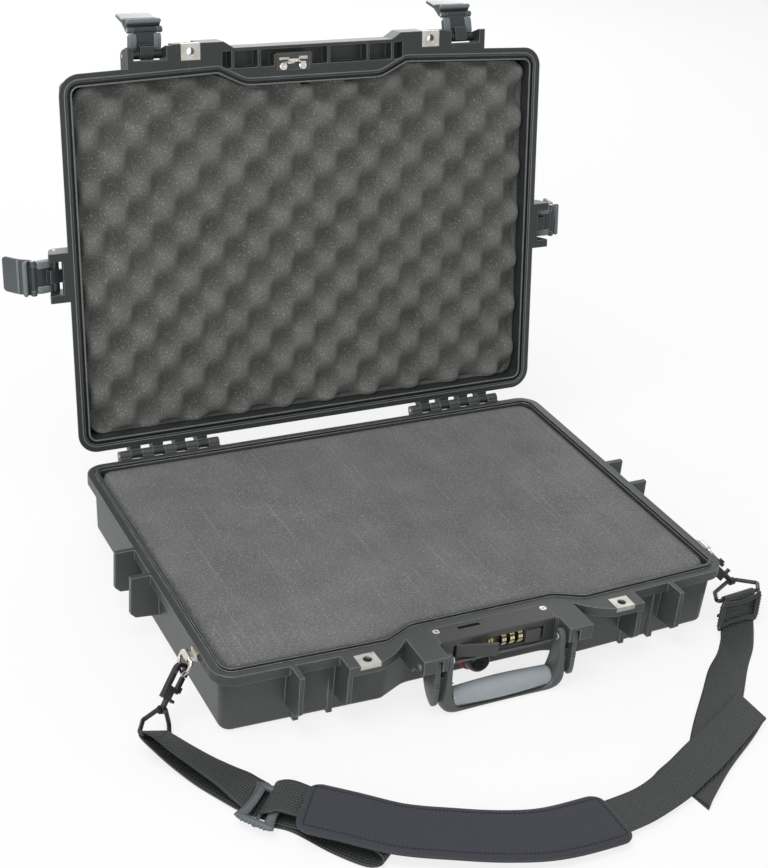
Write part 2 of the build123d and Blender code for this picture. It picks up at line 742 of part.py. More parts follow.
with BuildPart() as lid_shell:
    with BuildSketch(opened(Plane.XY.offset(lid_rim_z))):
        add(rim_outline(rim_overhang))
    extrude(amount=lid_top_z - lid_rim_z, taper=lid_draft)
    top_face = lid_shell.faces().sort_by(Axis((0, 0, 0), opened(Plane.XY).z_dir))[-1]
    fillet(top_face.edges(), lid_round)
    with BuildSketch(opened(Plane.XY.offset(lid_rim_z))):
        add(rim_outline())
    extrude(amount=lid_lip, taper=lid_lip_slope)
    # ears that carry the latch pins, and the floor of each latch pocket
    for name, frame in lid_frames.items():
        ear_thickness = ear_thicknesses[name]
        for along in (-1, 1):
            with BuildSketch(opened(across(frame, along * (ear_gap + ear_thickness) / 2))):
                with BuildLine():
                    Polyline(
                        (-rim_overhang - 4.4, closing_gap),
                        (ear_reach, closing_gap),
                        (ear_reach, closing_gap + 2.6),
                        (ear_reach - 4.5, ear_pivot_up),
                        (ear_reach - 8.5, ear_height - 0.5),
                        (-rim_overhang - 4.4, ear_height),
                        close=True,
                    )
                make_face()
                with Locations((ear_pivot_out, ear_pivot_up)):
                    Circle(latch_pin_radius, mode=Mode.SUBTRACT)
            extrude(amount=ear_thickness / 2, both=True)
        with BuildSketch(opened(Plane(frame.origin + Vector(0, 0, closing_gap), x_dir=frame.x_dir))):
            with Locations((1.5, 0)):
                Rectangle(8, ear_gap + 1)
        extrude(amount=4.5)
    # front bumper over the lock and the handle ears
    with BuildSketch(opened(Plane.XY.offset(lid_rim_z))):
        with BuildLine():
            Polyline(
                (-ear_outer - 1, -front_edge + 8),
                (-ear_outer - 1, -front_block_y),
                (-plate_x + plate_width / 2 - 2, -front_block_y),
                (-ear_outer_x - 10, -front_block_y),
                (-ear_outer_x, skirt_y),
                (ear_outer_x, skirt_y),
                (ear_outer_x + 10, -front_block_y),
                (plate_x - plate_width / 2 + 2, -front_block_y),
                (ear_outer + 1, -front_block_y),
                (ear_outer + 1, -front_edge + 8),
                (0, -front_edge + 24),
                close=True,
            )
        make_face()
    extrude(amount=block_thickness)
    with BuildSketch(opened(Plane.XY.offset(lid_rim_z + block_thickness - 1))):
        with BuildLine():
            Polyline(
                (-plate_x + plate_width / 2 - 2, -front_edge + 10),
                (-plate_x + plate_width / 2 - 2, -front_block_y),
                (-ear_outer_x - 10, -front_block_y),
                (-ear_outer_x, skirt_y),
                (ear_outer_x, skirt_y),
                (ear_outer_x + 10, -front_block_y),
                (plate_x - plate_width / 2 + 2, -front_block_y),
                (plate_x - plate_width / 2 + 2, -front_edge + 10),
                (0, -front_edge + 24),
                close=True,
            )
        make_face()
    extrude(amount=lid_block_height - block_thickness + 1)
    # trough behind the skirt
    trough_back = notch_y - 5
    with BuildSketch(opened(Plane.XY.offset(lid_rim_z))):
        with Locations((0, (trough_back + skirt_y + skirt_thickness) / 2)):
            Rectangle(2 * ear_outer_x + 24, trough_back - skirt_y - skirt_thickness)
    extrude(amount=trough_height, mode=Mode.SUBTRACT)
    for x in rib_x:
        with BuildSketch(opened(Plane.XY.offset(lid_rim_z))):
            with Locations((x, (trough_back + skirt_y) / 2)):
                Rectangle(3, trough_back - skirt_y)
        extrude(amount=trough_height + 1)
    # boss of the strike
    with BuildSketch(opened(Plane.XY.offset(lid_rim_z))):
        with Locations((boss_x, (-lock_back + 2 - lock_front + 8) / 2)):
            Rectangle(boss_width, lock_front - lock_back - 6)
    extrude(amount=trough_height + 1)
    with BuildSketch(opened(Plane.XY.offset(lid_rim_z))):
        with Locations((boss_x, (-lock_back + 2 - lock_front + 8) / 2)):
            Rectangle(strike_length, lock_front - lock_back - 8)
    extrude(amount=strike_thickness, mode=Mode.SUBTRACT)
    with BuildSketch(opened(Plane.XY.offset(lid_rim_z))):
        with Locations((boss_x - strike_screw_spread / 2, -lock_back - 1), (boss_x + strike_screw_spread / 2, -lock_back - 1)):
            Circle(screw_radius / 2)
    extrude(amount=10, mode=Mode.SUBTRACT)
    # hinge webs and knuckles
    for x in hinge_slots(1, 2):
        with BuildSketch(opened(Plane.YZ.offset(x))):
            with BuildLine():
                Polyline(
                    (front_edge - 8, lid_rim_z + 0.3),
                    (hinge_y, lid_rim_z + 0.3),
                    (hinge_y + knuckle_radius - 0.6, lid_rim_z + 2.4),
                    (hinge_y + 1, lid_rim_z + 7),
                    (front_edge - 8, lid_rim_z + 26),
                    close=True,
                )
            make_face()
            with Locations((hinge_y, hinge_z)):
                Circle(knuckle_radius)
        extrude(amount=(knuckle_pitch - knuckle_gap) / 2, both=True)
    with BuildSketch(*[opened(Plane.YZ.offset(x)) for x in hinge_slots(1, 2)]):
        with Locations((hinge_y, hinge_z)):
            Circle(hinge_pin_radius + running_fit)
    extrude(amount=knuckle_pitch / 2, both=True, mode=Mode.SUBTRACT)
    # inside of the lid, and the groove that takes the bead and the seal
    with BuildSketch(opened(Plane.XY.offset(lid_rim_z - 1))):
        add(rim_outline(lid_inner))
    extrude(amount=lid_height - closing_gap - wall + 1, taper=lid_draft, mode=Mode.SUBTRACT)
    with BuildSketch(opened(Plane.XY.offset(lid_rim_z))):
        add(rim_band(bead_inset - groove_clearance, bead_width + 2 * groove_clearance))
    extrude(amount=groove_depth, mode=Mode.SUBTRACT)
    # seats and holes of the padlock plates
    for side in (-1, 1):
        with BuildSketch(opened(Plane.XY.offset(lid_rim_z))):
            add(padlock_plate_sketch(side, False))
        extrude(amount=plate_thickness, mode=Mode.SUBTRACT)
        with BuildSketch(opened(Plane.XY.offset(lid_rim_z))):
            add(padlock_fold_sketch(side))
        extrude(amount=plate_fold, mode=Mode.SUBTRACT)
        with BuildSketch(opened(Plane.XY.offset(lid_rim_z))):
            with Locations((side * plate_x, -front_block_y + plate_depth / 2)):
                Circle(padlock_radius)
        extrude(amount=block_thickness + 1, mode=Mode.SUBTRACT)
lid_shell.part.label = "lid_shell"
export_step(lid_shell.part, "parts/lid_shell.step")

with BuildPart() as lid_foam:
    lid_foam_bottom = lid_top_z - wall - lid_foam_thickness
    with BuildSketch(opened(Plane.XY.offset(lid_foam_bottom))):
        add(rim_outline(lid_inner + foam_gap + (lid_foam_bottom - lid_rim_z) * tan(radians(lid_draft))))
    extrude(amount=lid_foam_thickness, taper=lid_draft)
lid_foam.part.label = "lid_foam"
export_step(lid_foam.part, "parts/lid_foam.step")

with BuildPart() as lid_seal:
    with BuildSketch(opened(Plane.XY.offset(lid_rim_z + groove_depth - 1.8))):
        add(rim_band(bead_inset - groove_clearance, bead_width + 2 * groove_clearance))
    extrude(amount=1.8)
lid_seal.part.label = "lid_seal"
export_step(lid_seal.part, "parts/lid_seal.step")

with BuildPart() as lid_padlock_plates:
    for side in (-1, 1):
        with BuildSketch(opened(Plane.XY.offset(lid_rim_z))):
            add(padlock_plate_sketch(side, True))
        extrude(amount=plate_thickness)
        with BuildSketch(opened(Plane.XY.offset(lid_rim_z))):
            add(padlock_fold_sketch(side))
        extrude(amount=plate_fold)
lid_padlock_plates.part.label = "lid_padlock_plates"
export_step(lid_padlock_plates.part, "parts/lid_padlock_plates.step")

with BuildPart() as lock_strike:
    with BuildSketch(opened(Plane.XY.offset(lid_rim_z))):
        with Locations((boss_x, (-lock_back + 2 - lock_front + 8) / 2)):
            Rectangle(strike_length, lock_front - lock_back - 8)
        with Locations((boss_x - strike_screw_spread / 2, -lock_back - 1), (boss_x + strike_screw_spread / 2, -lock_back - 1)):
            Circle(screw_radius / 2, mode=Mode.SUBTRACT)
    extrude(amount=strike_thickness)
    with BuildSketch(opened(Plane.XY.offset(lid_rim_z + strike_thickness / 2))):
        with Locations((boss_x, -slot_y)):
            Rectangle(strike_tongue, 1.8)
    extrude(amount=-strike_reach)
lock_strike.part.label = "lock_strike"
export_step(lock_strike.part, "parts/lock_strike.step")

with BuildPart() as strike_screws:
    with BuildSketch(opened(Plane.XY.offset(lid_rim_z))):
        with Locations((boss_x - strike_screw_spread / 2, -lock_back - 1), (boss_x + strike_screw_spread / 2, -lock_back - 1)):
            Circle(screw_radius / 2)
    extrude(amount=10)
strike_screws.part.label = "strike_screws"
export_step(strike_screws.part, "parts/strike_screws.step")

# ---------- latches ----------
with BuildPart() as latch_pins:
    for name, frame in lid_frames.items():
        with BuildSketch(opened(across(frame))):
            with Locations((ear_pivot_out, ear_pivot_up)):
                Circle(latch_pin_radius)
        extrude(amount=ear_gap / 2 + ear_thicknesses[name], both=True)
latch_pins.part.label = "latch_pins"
export_step(latch_pins.part, "parts/latch_pins.step")

lever_pivot_out = ear_pivot_out + 1.0
lever_pivot_drop = arm_length - ear_pivot_up
arm_half = ear_gap / 2 - arm_side_gap
knuckle_half = 11.0
catch_top = -(base_lip - lever_pivot_drop + catch_gap)
catch_tip = -(lever_pivot_out + catch_reach)
flare_x = lever_plate + lever_tip * sin(radians(lever_flare))
flare_y = -lever_straight - lever_tip * cos(radians(lever_flare))

for name, frame in lid_frames.items():
    arm_plane = turned(shifted(opened(across(frame)), ear_pivot_out, ear_pivot_up), arm_rest_angle[name])
    lever_plane = turned(shifted(arm_plane, 1.0, -arm_length), lever_rest_angle[name])

    with BuildPart() as latch_arm:
        with BuildSketch(arm_plane):
            Circle(arm_barrel)
            with Locations((1.0, -(arm_length - 5.5) / 2)):
                Rectangle(arm_plate, arm_length - 5.5)
        extrude(amount=arm_half, both=True)
        with BuildSketch(arm_plane):
            with Locations((1.0, -(arm_length - 3) / 2)):
                Rectangle(arm_plate, arm_length + 3)
            with Locations((1.0, -arm_length)):
                Circle(lever_barrel)
        extrude(amount=knuckle_half, both=True)
        with BuildSketch(arm_plane):
            with Locations((-4.5, -3.5)):
                Rectangle(7, 13)
        extrude(amount=6.5, both=True)
        with BuildSketch(arm_plane):
            Circle(latch_pin_radius + running_fit)
            with Locations((1.0, -arm_length)):
                Circle(lever_pin_radius)
        extrude(amount=arm_half + 1, both=True, mode=Mode.SUBTRACT)
    latch_arm.part.label = f"latch_arm_{name}"
    export_step(latch_arm.part, f"parts/latch_arm_{name}.step")

    with BuildPart() as lever_pin:
        with BuildSketch(lever_plane):
            Circle(lever_pin_radius)
        extrude(amount=lever_width / 2, both=True)
    lever_pin.part.label = f"lever_pin_{name}"
    export_step(lever_pin.part, f"parts/lever_pin_{name}.step")

    with BuildPart() as latch_lever:
        # plate with its flared end
        with BuildSketch(lever_plane):
            with BuildLine():
                Polyline(
                    (0.2, 0),
                    (lever_plate, 0),
                    (lever_plate, -lever_straight),
                    (flare_x, flare_y),
                    (flare_x - lever_plate + 0.2, flare_y - 0.6),
                    (0.2, -lever_straight),
                    close=True,
                )
            make_face()
        extrude(amount=lever_width / 2, both=True)
        # knuckles and the catch
        with BuildSketch(lever_plane):
            Circle(lever_barrel)
        extrude(amount=lever_width / 2, both=True)
        with BuildSketch(lever_plane):
            with Locations((0, -2.6)):
                Rectangle(12, 14)
        extrude(amount=knuckle_half + 0.4, both=True, mode=Mode.SUBTRACT)
        with BuildSketch(lever_plane):
            with Locations(((catch_tip + 1) / 2, catch_top - catch_height / 2)):
                Rectangle(1 - catch_tip, catch_height)
        extrude(amount=lever_width / 2, both=True)
        with BuildSketch(lever_plane):
            with Locations((lever_plate / 2 + 0.1, (catch_top - 14) / 2)):
                Rectangle(lever_plate - 0.2, 14 + catch_top)
        extrude(amount=lever_width / 2, both=True)
        # bore and a small hole in the plate
        with BuildSketch(lever_plane):
            Circle(lever_pin_radius + running_fit)
        extrude(amount=lever_width / 2 + 1, both=True, mode=Mode.SUBTRACT)
        with BuildSketch(Plane(lever_plane.from_local_coords((lever_plate, -10, 4.5)), z_dir=lever_plane.x_dir)):
            Circle(2)
        extrude(amount=-3, mode=Mode.SUBTRACT)
    latch_lever.part.label = f"latch_lever_{name}"
    export_step(latch_lever.part, f"parts/latch_lever_{name}.step")

# ---------- strap rings ----------
rim_half = rim_width / 2
ring_drop_length = 5.0 + ring_half_width
hook_ends = {"left": Vector(-294.7, -154.8, 20.0), "right": Vector(292.0, -152.6, 22.0)}
hook_length = 35.5
loop_wire = 2.0
seam = 0.2
swivels = {}


def ring_plane(side):
    # X along the rim, Y down the hanging ring
    tilt = radians(ring_tilt)
    eye = Vector(side * (rim_half + ring_out), -ring_y, rim_z - ring_drop)
    return Plane(eye, x_dir=(0, 1, 0), z_dir=(-cos(tilt), 0, -side * sin(tilt)))


with BuildPart() as ring_brackets:
    for side in (-1, 1):
        with BuildSketch(Plane((side * rim_half, -ring_y, rim_z - ring_drop), x_dir=(side, 0, 0), z_dir=(0, -side, 0))):
            with Locations((bracket_plate / 2, 0.8)):
                Rectangle(bracket_plate, 8)
            with Locations((ring_out / 2, 0)):
                Rectangle(ring_out, 3)
            with Locations((ring_out, 0)):
                Circle(ring_wire + 1.8)
                Circle(ring_wire + running_fit, mode=Mode.SUBTRACT)
        extrude(amount=bracket_width / 2, both=True)
ring_brackets.part.label = "ring_brackets"
export_step(ring_brackets.part, "parts/ring_brackets.step")

# where the bar and the shoulders of each wire loop lie
loop_bars = {
    "left": (Vector(-321.6, -183.0, 25.5), Vector(-290.4, -163.8, 3.6)),
    "right": (Vector(256.0, -181.5, 24.0), Vector(304.0, -177.5, 24.0)),
}
loop_shoulders = {
    "left": (Vector(-311.5, -161.0, 22.0), Vector(-285.0, -150.5, 3.6)),
    "right": (Vector(263.0, -166.0, 23.0), Vector(314.0, -166.0, 23.0)),
}
for name, side in (("left", -1), ("right", 1)):
    ring_at = ring_plane(side)
    half, low = ring_half_width, ring_drop_length
    ring_corners = [(seam, 0), (half, 0), (half, low - 7.5), (half - 5, low), (5 - half, low), (-half, low - 7.5)]
    ring_corners += [(-half, 0), (-seam, 0)]
    with BuildPart() as strap_ring:
        with BuildLine(ring_at) as ring_path:
            FilletPolyline(*ring_corners, radius=2.8)
        with BuildSketch(Plane(ring_path.wire() @ 0, z_dir=ring_path.wire() % 0)):
            Circle(ring_wire)
        sweep(path=ring_path.wire())
    strap_ring.part.label = f"strap_ring_{name}"
    export_step(strap_ring.part, f"parts/strap_ring_{name}.step")

    # snap hook, drawn along the line from the ring to its swivel
    ring_low = ring_at.from_local_coords((0, ring_drop_length, 0))
    hook_dir = (hook_ends[name] - ring_low).normalized()
    swivels[name] = ring_low + hook_dir * hook_length
    across_dir = Vector(0, 1, 0) - hook_dir * hook_dir.Y
    hook_plane = Plane(ring_low, x_dir=hook_dir, z_dir=across_dir)
    jaw = ring_wire + 4.0
    with BuildPart() as snap_hook:
        with BuildSketch(hook_plane):
            with BuildLine():
                Line((2.5, -jaw), (0, -jaw))
                ThreePointArc((0, -jaw), (-jaw, 0), (0, jaw))
                Line((0, jaw), (18, jaw))
            trace(line_width=3.6)
            with Locations((20.5, 2.4)):
                Rectangle(12, 9.6)
            with Locations((25.4, 0)):
                Rectangle(2.4, 14)
        extrude(amount=2.4, both=True)
        with BuildSketch(Plane(hook_plane.from_local_coords((26, 0, 0)), z_dir=hook_dir)):
            Circle(2.6)
        extrude(amount=hook_length - 26 - loop_wire - 0.6)
        bar_dir = (loop_bars[name][1] - loop_bars[name][0]).normalized()
        with BuildSketch(Plane(swivels[name], z_dir=bar_dir)):
            Circle(loop_wire + 1.8)
        extrude(amount=2.4, both=True)
        with BuildSketch(Plane(swivels[name], z_dir=bar_dir)):
            Circle(loop_wire)
        extrude(amount=6, both=True, mode=Mode.SUBTRACT)
    snap_hook.part.label = f"snap_hook_{name}"
    export_step(snap_hook.part, f"parts/snap_hook_{name}.step")

    with BuildPart() as hook_gate:
        with BuildSketch(hook_plane):
            with Locations((10.7, -jaw + 0.3)):
                Rectangle(15.0, 3.6)
            with Locations((14, -jaw - 2.4)):
                Rectangle(5, 2.4)
        extrude(amount=1.8, both=True)
    hook_gate.part.label = f"hook_gate_{name}"
    export_step(hook_gate.part, f"parts/hook_gate_{name}.step")

# ---------- wire loops that hold the webbing ----------
loop_paths = {}
for name in ("left", "right"):
    first_bar, last_bar = loop_bars[name]
    first_shoulder, last_shoulder = loop_shoulders[name]
    bar_dir = (last_bar - first_bar).normalized()
    neck = swivels[name]
    corners = [neck - bar_dir * seam, neck - bar_dir * 6, first_shoulder, first_bar - bar_dir * 2]
    corners += [last_bar + bar_dir * 2, last_shoulder, neck + bar_dir * 6, neck + bar_dir * seam]
    with BuildPart() as strap_loop:
        with BuildLine() as loop_path:
            FilletPolyline(*corners, radius=2.6)
        with BuildSketch(Plane(loop_path.wire() @ 0, z_dir=loop_path.wire() % 0)):
            Circle(loop_wire)
        sweep(path=loop_path.wire())
    loop_paths[name] = loop_path.wire()
    strap_loop.part.label = f"strap_loop_{name}"
    export_step(strap_loop.part, f"parts/strap_loop_{name}.step")

# ---------- web sliders ----------
slider_width = web_width + 9.0
slider_length = 27.0
slider_thickness = 3.0
slider_planes = {
    "left": Plane((-250.5, -281.0, 6.5), x_dir=(0.69, 0.72, 0), z_dir=(0, 0, 1)),
    "right": Plane((276.8, -190.8, 18.2), x_dir=(0.9965, 0.083, 0), z_dir=(0.068, -0.815, 0.575)),
}
for name, plane in slider_planes.items():
    with BuildPart() as web_slider:
        with BuildSketch(plane):
            RectangleRounded(slider_width, slider_length, 4)
            with Locations((0, slider_length / 4 - 0.6), (0, -slider_length / 4 + 0.6)):
                RectangleRounded(web_width + 2, slider_length / 2 - 5.5, 1.5, mode=Mode.SUBTRACT)
        extrude(amount=slider_thickness / 2, both=True)
    web_slider.part.label = f"web_slider_{name}"
    export_step(web_slider.part, f"parts/web_slider_{name}.step")


# ---------- webbing ----------
def web_section(centre, across_dir, along):
    with BuildSketch(Plane(centre, x_dir=across_dir, z_dir=along)) as section:
        Rectangle(web_width, web_thickness)
    return section.sketch


left_first, left_last = loop_bars["left"]
left_bar = (left_first + left_last) / 2
left_across = (left_last - left_first).normalized()
left_end = slider_planes["left"]
left_run = (left_end.origin - left_bar).normalized()
wrap_radius = loop_wire + 0.3
upper_mid = Vector(-274.5, -224.0, 17.0)
lower_mid = Vector(-276.5, -230.0, 7.0)
upper_end = left_end.from_local_coords((0, slider_length / 2 + 0.8, 1.5))
lower_end = left_end.from_local_coords((0, slider_length / 2 + 0.8, -1.2))
bar_up = left_across.cross(left_run).normalized()
bar_top = left_bar + bar_up * (wrap_radius + web_thickness / 2)
bar_low = left_bar - bar_up * (wrap_radius + web_thickness / 2)

with BuildPart() as webbing_left:
    for start, middle, end, tilt in ((bar_top, upper_mid, upper_end, -0.33), (bar_low, lower_mid, lower_end, -0.16)):
        add(web_section(start, left_across, left_run))
        add(web_section(middle, (0.75, 0.6, tilt), end - start))
        add(web_section(end, left_end.x_dir, -left_end.y_dir))
        loft()
    with BuildSketch(Plane(left_bar, x_dir=left_run, z_dir=left_across)):
        Circle(wrap_radius + web_thickness)
    extrude(amount=web_width / 2, both=True)
    with BuildSketch(Plane(left_bar, x_dir=left_run, z_dir=left_across)):
        Circle(wrap_radius)
    extrude(amount=web_width, both=True, mode=Mode.SUBTRACT)
    # the webbing's edges give way to the loop's bent ends
    with BuildSketch(Plane(loop_paths["left"] @ 0, z_dir=loop_paths["left"] % 0)):
        Circle(wrap_radius)
    sweep(path=loop_paths["left"], mode=Mode.SUBTRACT)
webbing_left.part.label = "webbing_left"
export_step(webbing_left.part, "parts/webbing_left.step")

# shoulder pad, lying over the doubled end of the left webbing
pad_width = 57.0
pad_left_rise = 9.5
pad_points = [(-227.6, -298.5), (-199, -320), (-166, -346), (-130, -364), (-87, -382), (-47.5, -391), (8, -391)]
pad_length = pad_points[-1][0] - pad_points[0][0]
pad_plane = Plane((pad_points[-1][0], 0, 3.4), x_dir=(pad_length, 0, -pad_left_rise), z_dir=(pad_left_rise, 0, pad_length))

with BuildPart() as shoulder_pad:
    with BuildSketch(pad_plane) as pad_outline:
        with BuildLine():
            Spline(*[(x - pad_points[-1][0], y) for x, y in pad_points])
        trace(line_width=pad_width)
        fillet(pad_outline.vertices(), 11)
    extrude(amount=pad_thickness)
shoulder_pad.part.label = "shoulder_pad"
export_step(shoulder_pad.part, "parts/shoulder_pad.step")

# the webbing from the left slider to the pad, and its turned-back tail on the floor
tail_start = Vector(-243.0, -303.0, 0)
tail_dir = Vector(0.6, -0.8, 0)
tail_length = 64.0
tail_height = 9.4
tail_clear = 0.3 + web_thickness / 2

with BuildPart() as webbing_tail:
    with BuildSketch(Plane(tail_start, x_dir=tail_dir, z_dir=(-0.8, -0.6, 0))):
        with BuildLine():
            Line((0, tail_height), (tail_length, tail_height))
            ThreePointArc(
                (tail_length, tail_height),
                (tail_length + (tail_height - tail_clear) / 2, (tail_height + tail_clear) / 2),
                (tail_length, tail_clear),
            )
            Line((tail_length, tail_clear), (4, tail_clear))
        trace(line_width=web_thickness)
    extrude(amount=-web_width)
webbing_tail.part.label = "webbing_tail"
export_step(webbing_tail.part, "parts/webbing_tail.step")

# right webbing, lying in three layers
right_first, right_last = loop_bars["right"]
right_bar = (right_first + right_last) / 2
right_across = (right_last - right_first).normalized()
right_slider = slider_planes["right"]
layer_step = web_thickness + 0.3
run_points = [(268, -197), (238, -232), (211, -258), (186, -290), (140, -338), (88, -391)]
fold_points = [(88, -391), (134, -350), (205, -307)]
pad_run_points = [(205, -307), (168, -332), (122, -358), (84, -372), (46, -384), (9, -391)]

with BuildPart() as webbing_right:
    for level, points in ((0, run_points), (1, fold_points), (2, pad_run_points)):
        with BuildSketch(Plane.XY.offset(0.3 + level * layer_step)):
            with BuildLine():
                Spline(*points)
            trace(line_width=web_width)
        extrude(amount=web_thickness)
    for level, (x, y), (dx, dy) in ((0, (88, -391), (-0.78, -0.62)), (1, (205, -307), (0.85, 0.5))):
        with BuildSketch(Plane((x + dx, y + dy, 0.3 + level * layer_step), x_dir=(dx, dy, 0))):
            Rectangle(2.4, web_width)
        extrude(amount=layer_step + web_thickness)
webbing_right.part.label = "webbing_right"
export_step(webbing_right.part, "parts/webbing_right.step")

# short end of the right webbing: round the loop and down to the floor
hang_start = right_bar + Vector(0, -wrap_radius - web_thickness / 2, 0)
hang_end = hang_start - right_slider.y_dir * 26

with BuildPart() as webbing_right_end:
    add(web_section(hang_start, right_across, hang_end - hang_start))
    add(web_section(hang_end, right_across, hang_end - hang_start))
    loft()
    with BuildSketch(Plane(right_bar, x_dir=(0, -1, 0), z_dir=right_across)):
        Circle(wrap_radius + web_thickness)
    extrude(amount=web_width / 2, both=True)
    with BuildSketch(Plane(right_bar, x_dir=(0, -1, 0), z_dir=right_across)):
        Circle(wrap_radius)
    extrude(amount=web_width, both=True, mode=Mode.SUBTRACT)
webbing_right_end.part.label = "webbing_right_end"
export_step(webbing_right_end.part, "parts/webbing_right_end.step")
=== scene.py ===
# Laptop hard case with an open lid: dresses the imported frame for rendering.
import json
import math
import bmesh
import bpy
from mathutils import Matrix, Vector, noise


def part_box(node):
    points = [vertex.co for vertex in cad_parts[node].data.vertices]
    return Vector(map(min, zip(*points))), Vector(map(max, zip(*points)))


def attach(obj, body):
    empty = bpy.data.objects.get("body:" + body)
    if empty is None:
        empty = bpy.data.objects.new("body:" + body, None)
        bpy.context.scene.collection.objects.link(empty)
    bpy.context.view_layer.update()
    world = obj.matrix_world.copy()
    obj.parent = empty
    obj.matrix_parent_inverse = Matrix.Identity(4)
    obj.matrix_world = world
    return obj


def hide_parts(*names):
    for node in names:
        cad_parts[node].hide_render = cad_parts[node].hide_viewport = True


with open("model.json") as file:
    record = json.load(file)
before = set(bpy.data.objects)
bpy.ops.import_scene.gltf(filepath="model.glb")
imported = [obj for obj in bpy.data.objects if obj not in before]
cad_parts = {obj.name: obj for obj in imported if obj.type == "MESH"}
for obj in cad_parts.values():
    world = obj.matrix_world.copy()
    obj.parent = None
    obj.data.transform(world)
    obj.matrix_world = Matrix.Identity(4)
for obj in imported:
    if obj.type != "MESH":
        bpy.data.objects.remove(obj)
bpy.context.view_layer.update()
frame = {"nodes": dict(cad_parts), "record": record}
caseNodes = frame["nodes"]
print("Stage 1: frame loaded")

cameraPlan = {
    "place": (-0.678, -1.2173, 0.8993),
    "turn": -28.27,  # degrees about Z, from looking along +Y
    "tilt": -28.18,
    "roll": 4.96,
    "lens": 69.83,
    "sensor": 36,
    "clip": (0.05, 50),
}


def makeCamera(plan):
    lens = bpy.data.cameras.new("studioCamera")
    lens.lens = plan["lens"]
    lens.sensor_width = plan["sensor"]
    lens.clip_start, lens.clip_end = plan["clip"]
    camera = bpy.data.objects.new("studioCamera", lens)
    bpy.context.scene.collection.objects.link(camera)
    spin = Matrix.Rotation(math.radians(plan["turn"]), 4, "Z")
    dip = Matrix.Rotation(math.radians(90 + plan["tilt"]), 4, "X")
    lean = Matrix.Rotation(math.radians(plan["roll"]), 4, "Z")
    camera.matrix_world = Matrix.Translation(plan["place"]) @ spin @ dip @ lean
    bpy.context.scene.camera = camera


makeCamera(cameraPlan)


# small helpers for node trees
def newMaterial(name):
    material = bpy.data.materials.new(name)
    material.use_nodes = True
    tree = material.node_tree
    tree.nodes.clear()
    output = tree.nodes.new("ShaderNodeOutputMaterial")
    shader = tree.nodes.new("ShaderNodeBsdfPrincipled")
    tree.links.new(shader.outputs[0], output.inputs[0])
    return material, tree, shader


def put(tree, kind, settings=None, **sockets):
    # a new node; a socket is named, or numbered as n0, n1 and so on
    node = tree.nodes.new(kind)
    for key, value in (settings or {}).items():
        setattr(node, key, value)
    for key, value in sockets.items():
        numbered = key[0] == "n" and key[1:].isdigit()
        feed(tree, node.inputs[int(key[1:])] if numbered else node.inputs[key], value)
    return node


def feed(tree, socket, value):
    if isinstance(value, bpy.types.NodeSocket):
        tree.links.new(value, socket)
    else:
        socket.default_value = value


def setShader(tree, shader, **values):
    names = {
        "colour": "Base Color",
        "rough": "Roughness",
        "normal": "Normal",
        "specular": "Specular IOR Level",
        "metal": "Metallic",
        "sheen": "Sheen Weight",
        "sheenRough": "Sheen Roughness",
    }
    for key, value in values.items():
        feed(tree, shader.inputs[names[key]], value)


def sums(tree, operation, first, second=0.0, third=0.0):
    return put(tree, "ShaderNodeMath", {"operation": operation}, n0=first, n1=second, n2=third).outputs[0]


def scaled(tree, value, gain, lift=0.0):
    return sums(tree, "MULTIPLY_ADD", value, gain, lift)


def grey(level):
    return (level, level, level, 1) if isinstance(level, (int, float)) else (*level, 1)


def ramp(tree, factor, stops):
    node = put(tree, "ShaderNodeValToRGB", Fac=factor)
    for element, (place, level) in zip(node.color_ramp.elements, stops):
        element.position, element.color = place, grey(level)
    return node.outputs[0]


def mixed(tree, factor, first, second):
    node = put(tree, "ShaderNodeMix", {"data_type": "RGBA"}, n0=factor, n6=first, n7=second)
    return node.outputs[2]


def fromScreen(red, green, blue):
    # a colour read off a screen, turned into linear light
    shares = (c / 255 for c in (red, green, blue))
    return tuple(c / 12.92 if c <= 0.04045 else ((c + 0.055) / 1.055) ** 2.4 for c in shares)


def tinted(colour, gain, lift=0.0):
    return tuple(min(1.0, c * gain + lift) for c in colour)


def objectSpot(tree, scale=(1, 1, 1)):
    spot = put(tree, "ShaderNodeTexCoord")
    return put(tree, "ShaderNodeMapping", Vector=spot.outputs["Object"], Scale=scale).outputs[0]


def speckle(tree, spot, scale, detail=3.0, roughness=0.55):
    node = put(tree, "ShaderNodeTexNoise", Vector=spot, Scale=scale, Detail=detail, Roughness=roughness)
    return node.outputs["Fac"]


def bump(tree, height, distance, strength, normal=None):
    node = put(tree, "ShaderNodeBump", Height=height, Distance=distance, Strength=strength)
    if normal is not None:
        tree.links.new(normal, node.inputs["Normal"])
    return node.outputs[0]


def softNormal(tree, radius):
    return put(tree, "ShaderNodeBevel", {"samples": 4}, Radius=radius).outputs[0]


# moulded plastic: fine grain, cloudy gloss, pale edges that are partly rubbed wear and partly painted
# highlight, and faint scuffs
plasticSurface = {
    "cloudScale": 14,
    "grainScale": 1500,
    "scuffStretch": (260, 35, 60),
    "scuffStops": [(0.62, 0.0), (0.72, 1.0)],
    "scuffShare": 0.10,
    "edgeStops": [(0.80, 1.0), (0.995, 0.0)],
    "edgeBreakup": (120, 0.9, 0.25),  # scale, gain and lift of the noise that breaks up the pale edges, which are partly rubbed wear and partly painted highlight
    "dull": 0.82,
    "pale": 1.25,
    # paler tone for scuffs, and for edges where it is partly wear and partly painted highlight
    "rubbed": (3.0, 0.22),
    "cloudGloss": 0.16,
    "grainGloss": 0.10,
    "grainStrength": 0.8,
    "specular": 0.38,
}


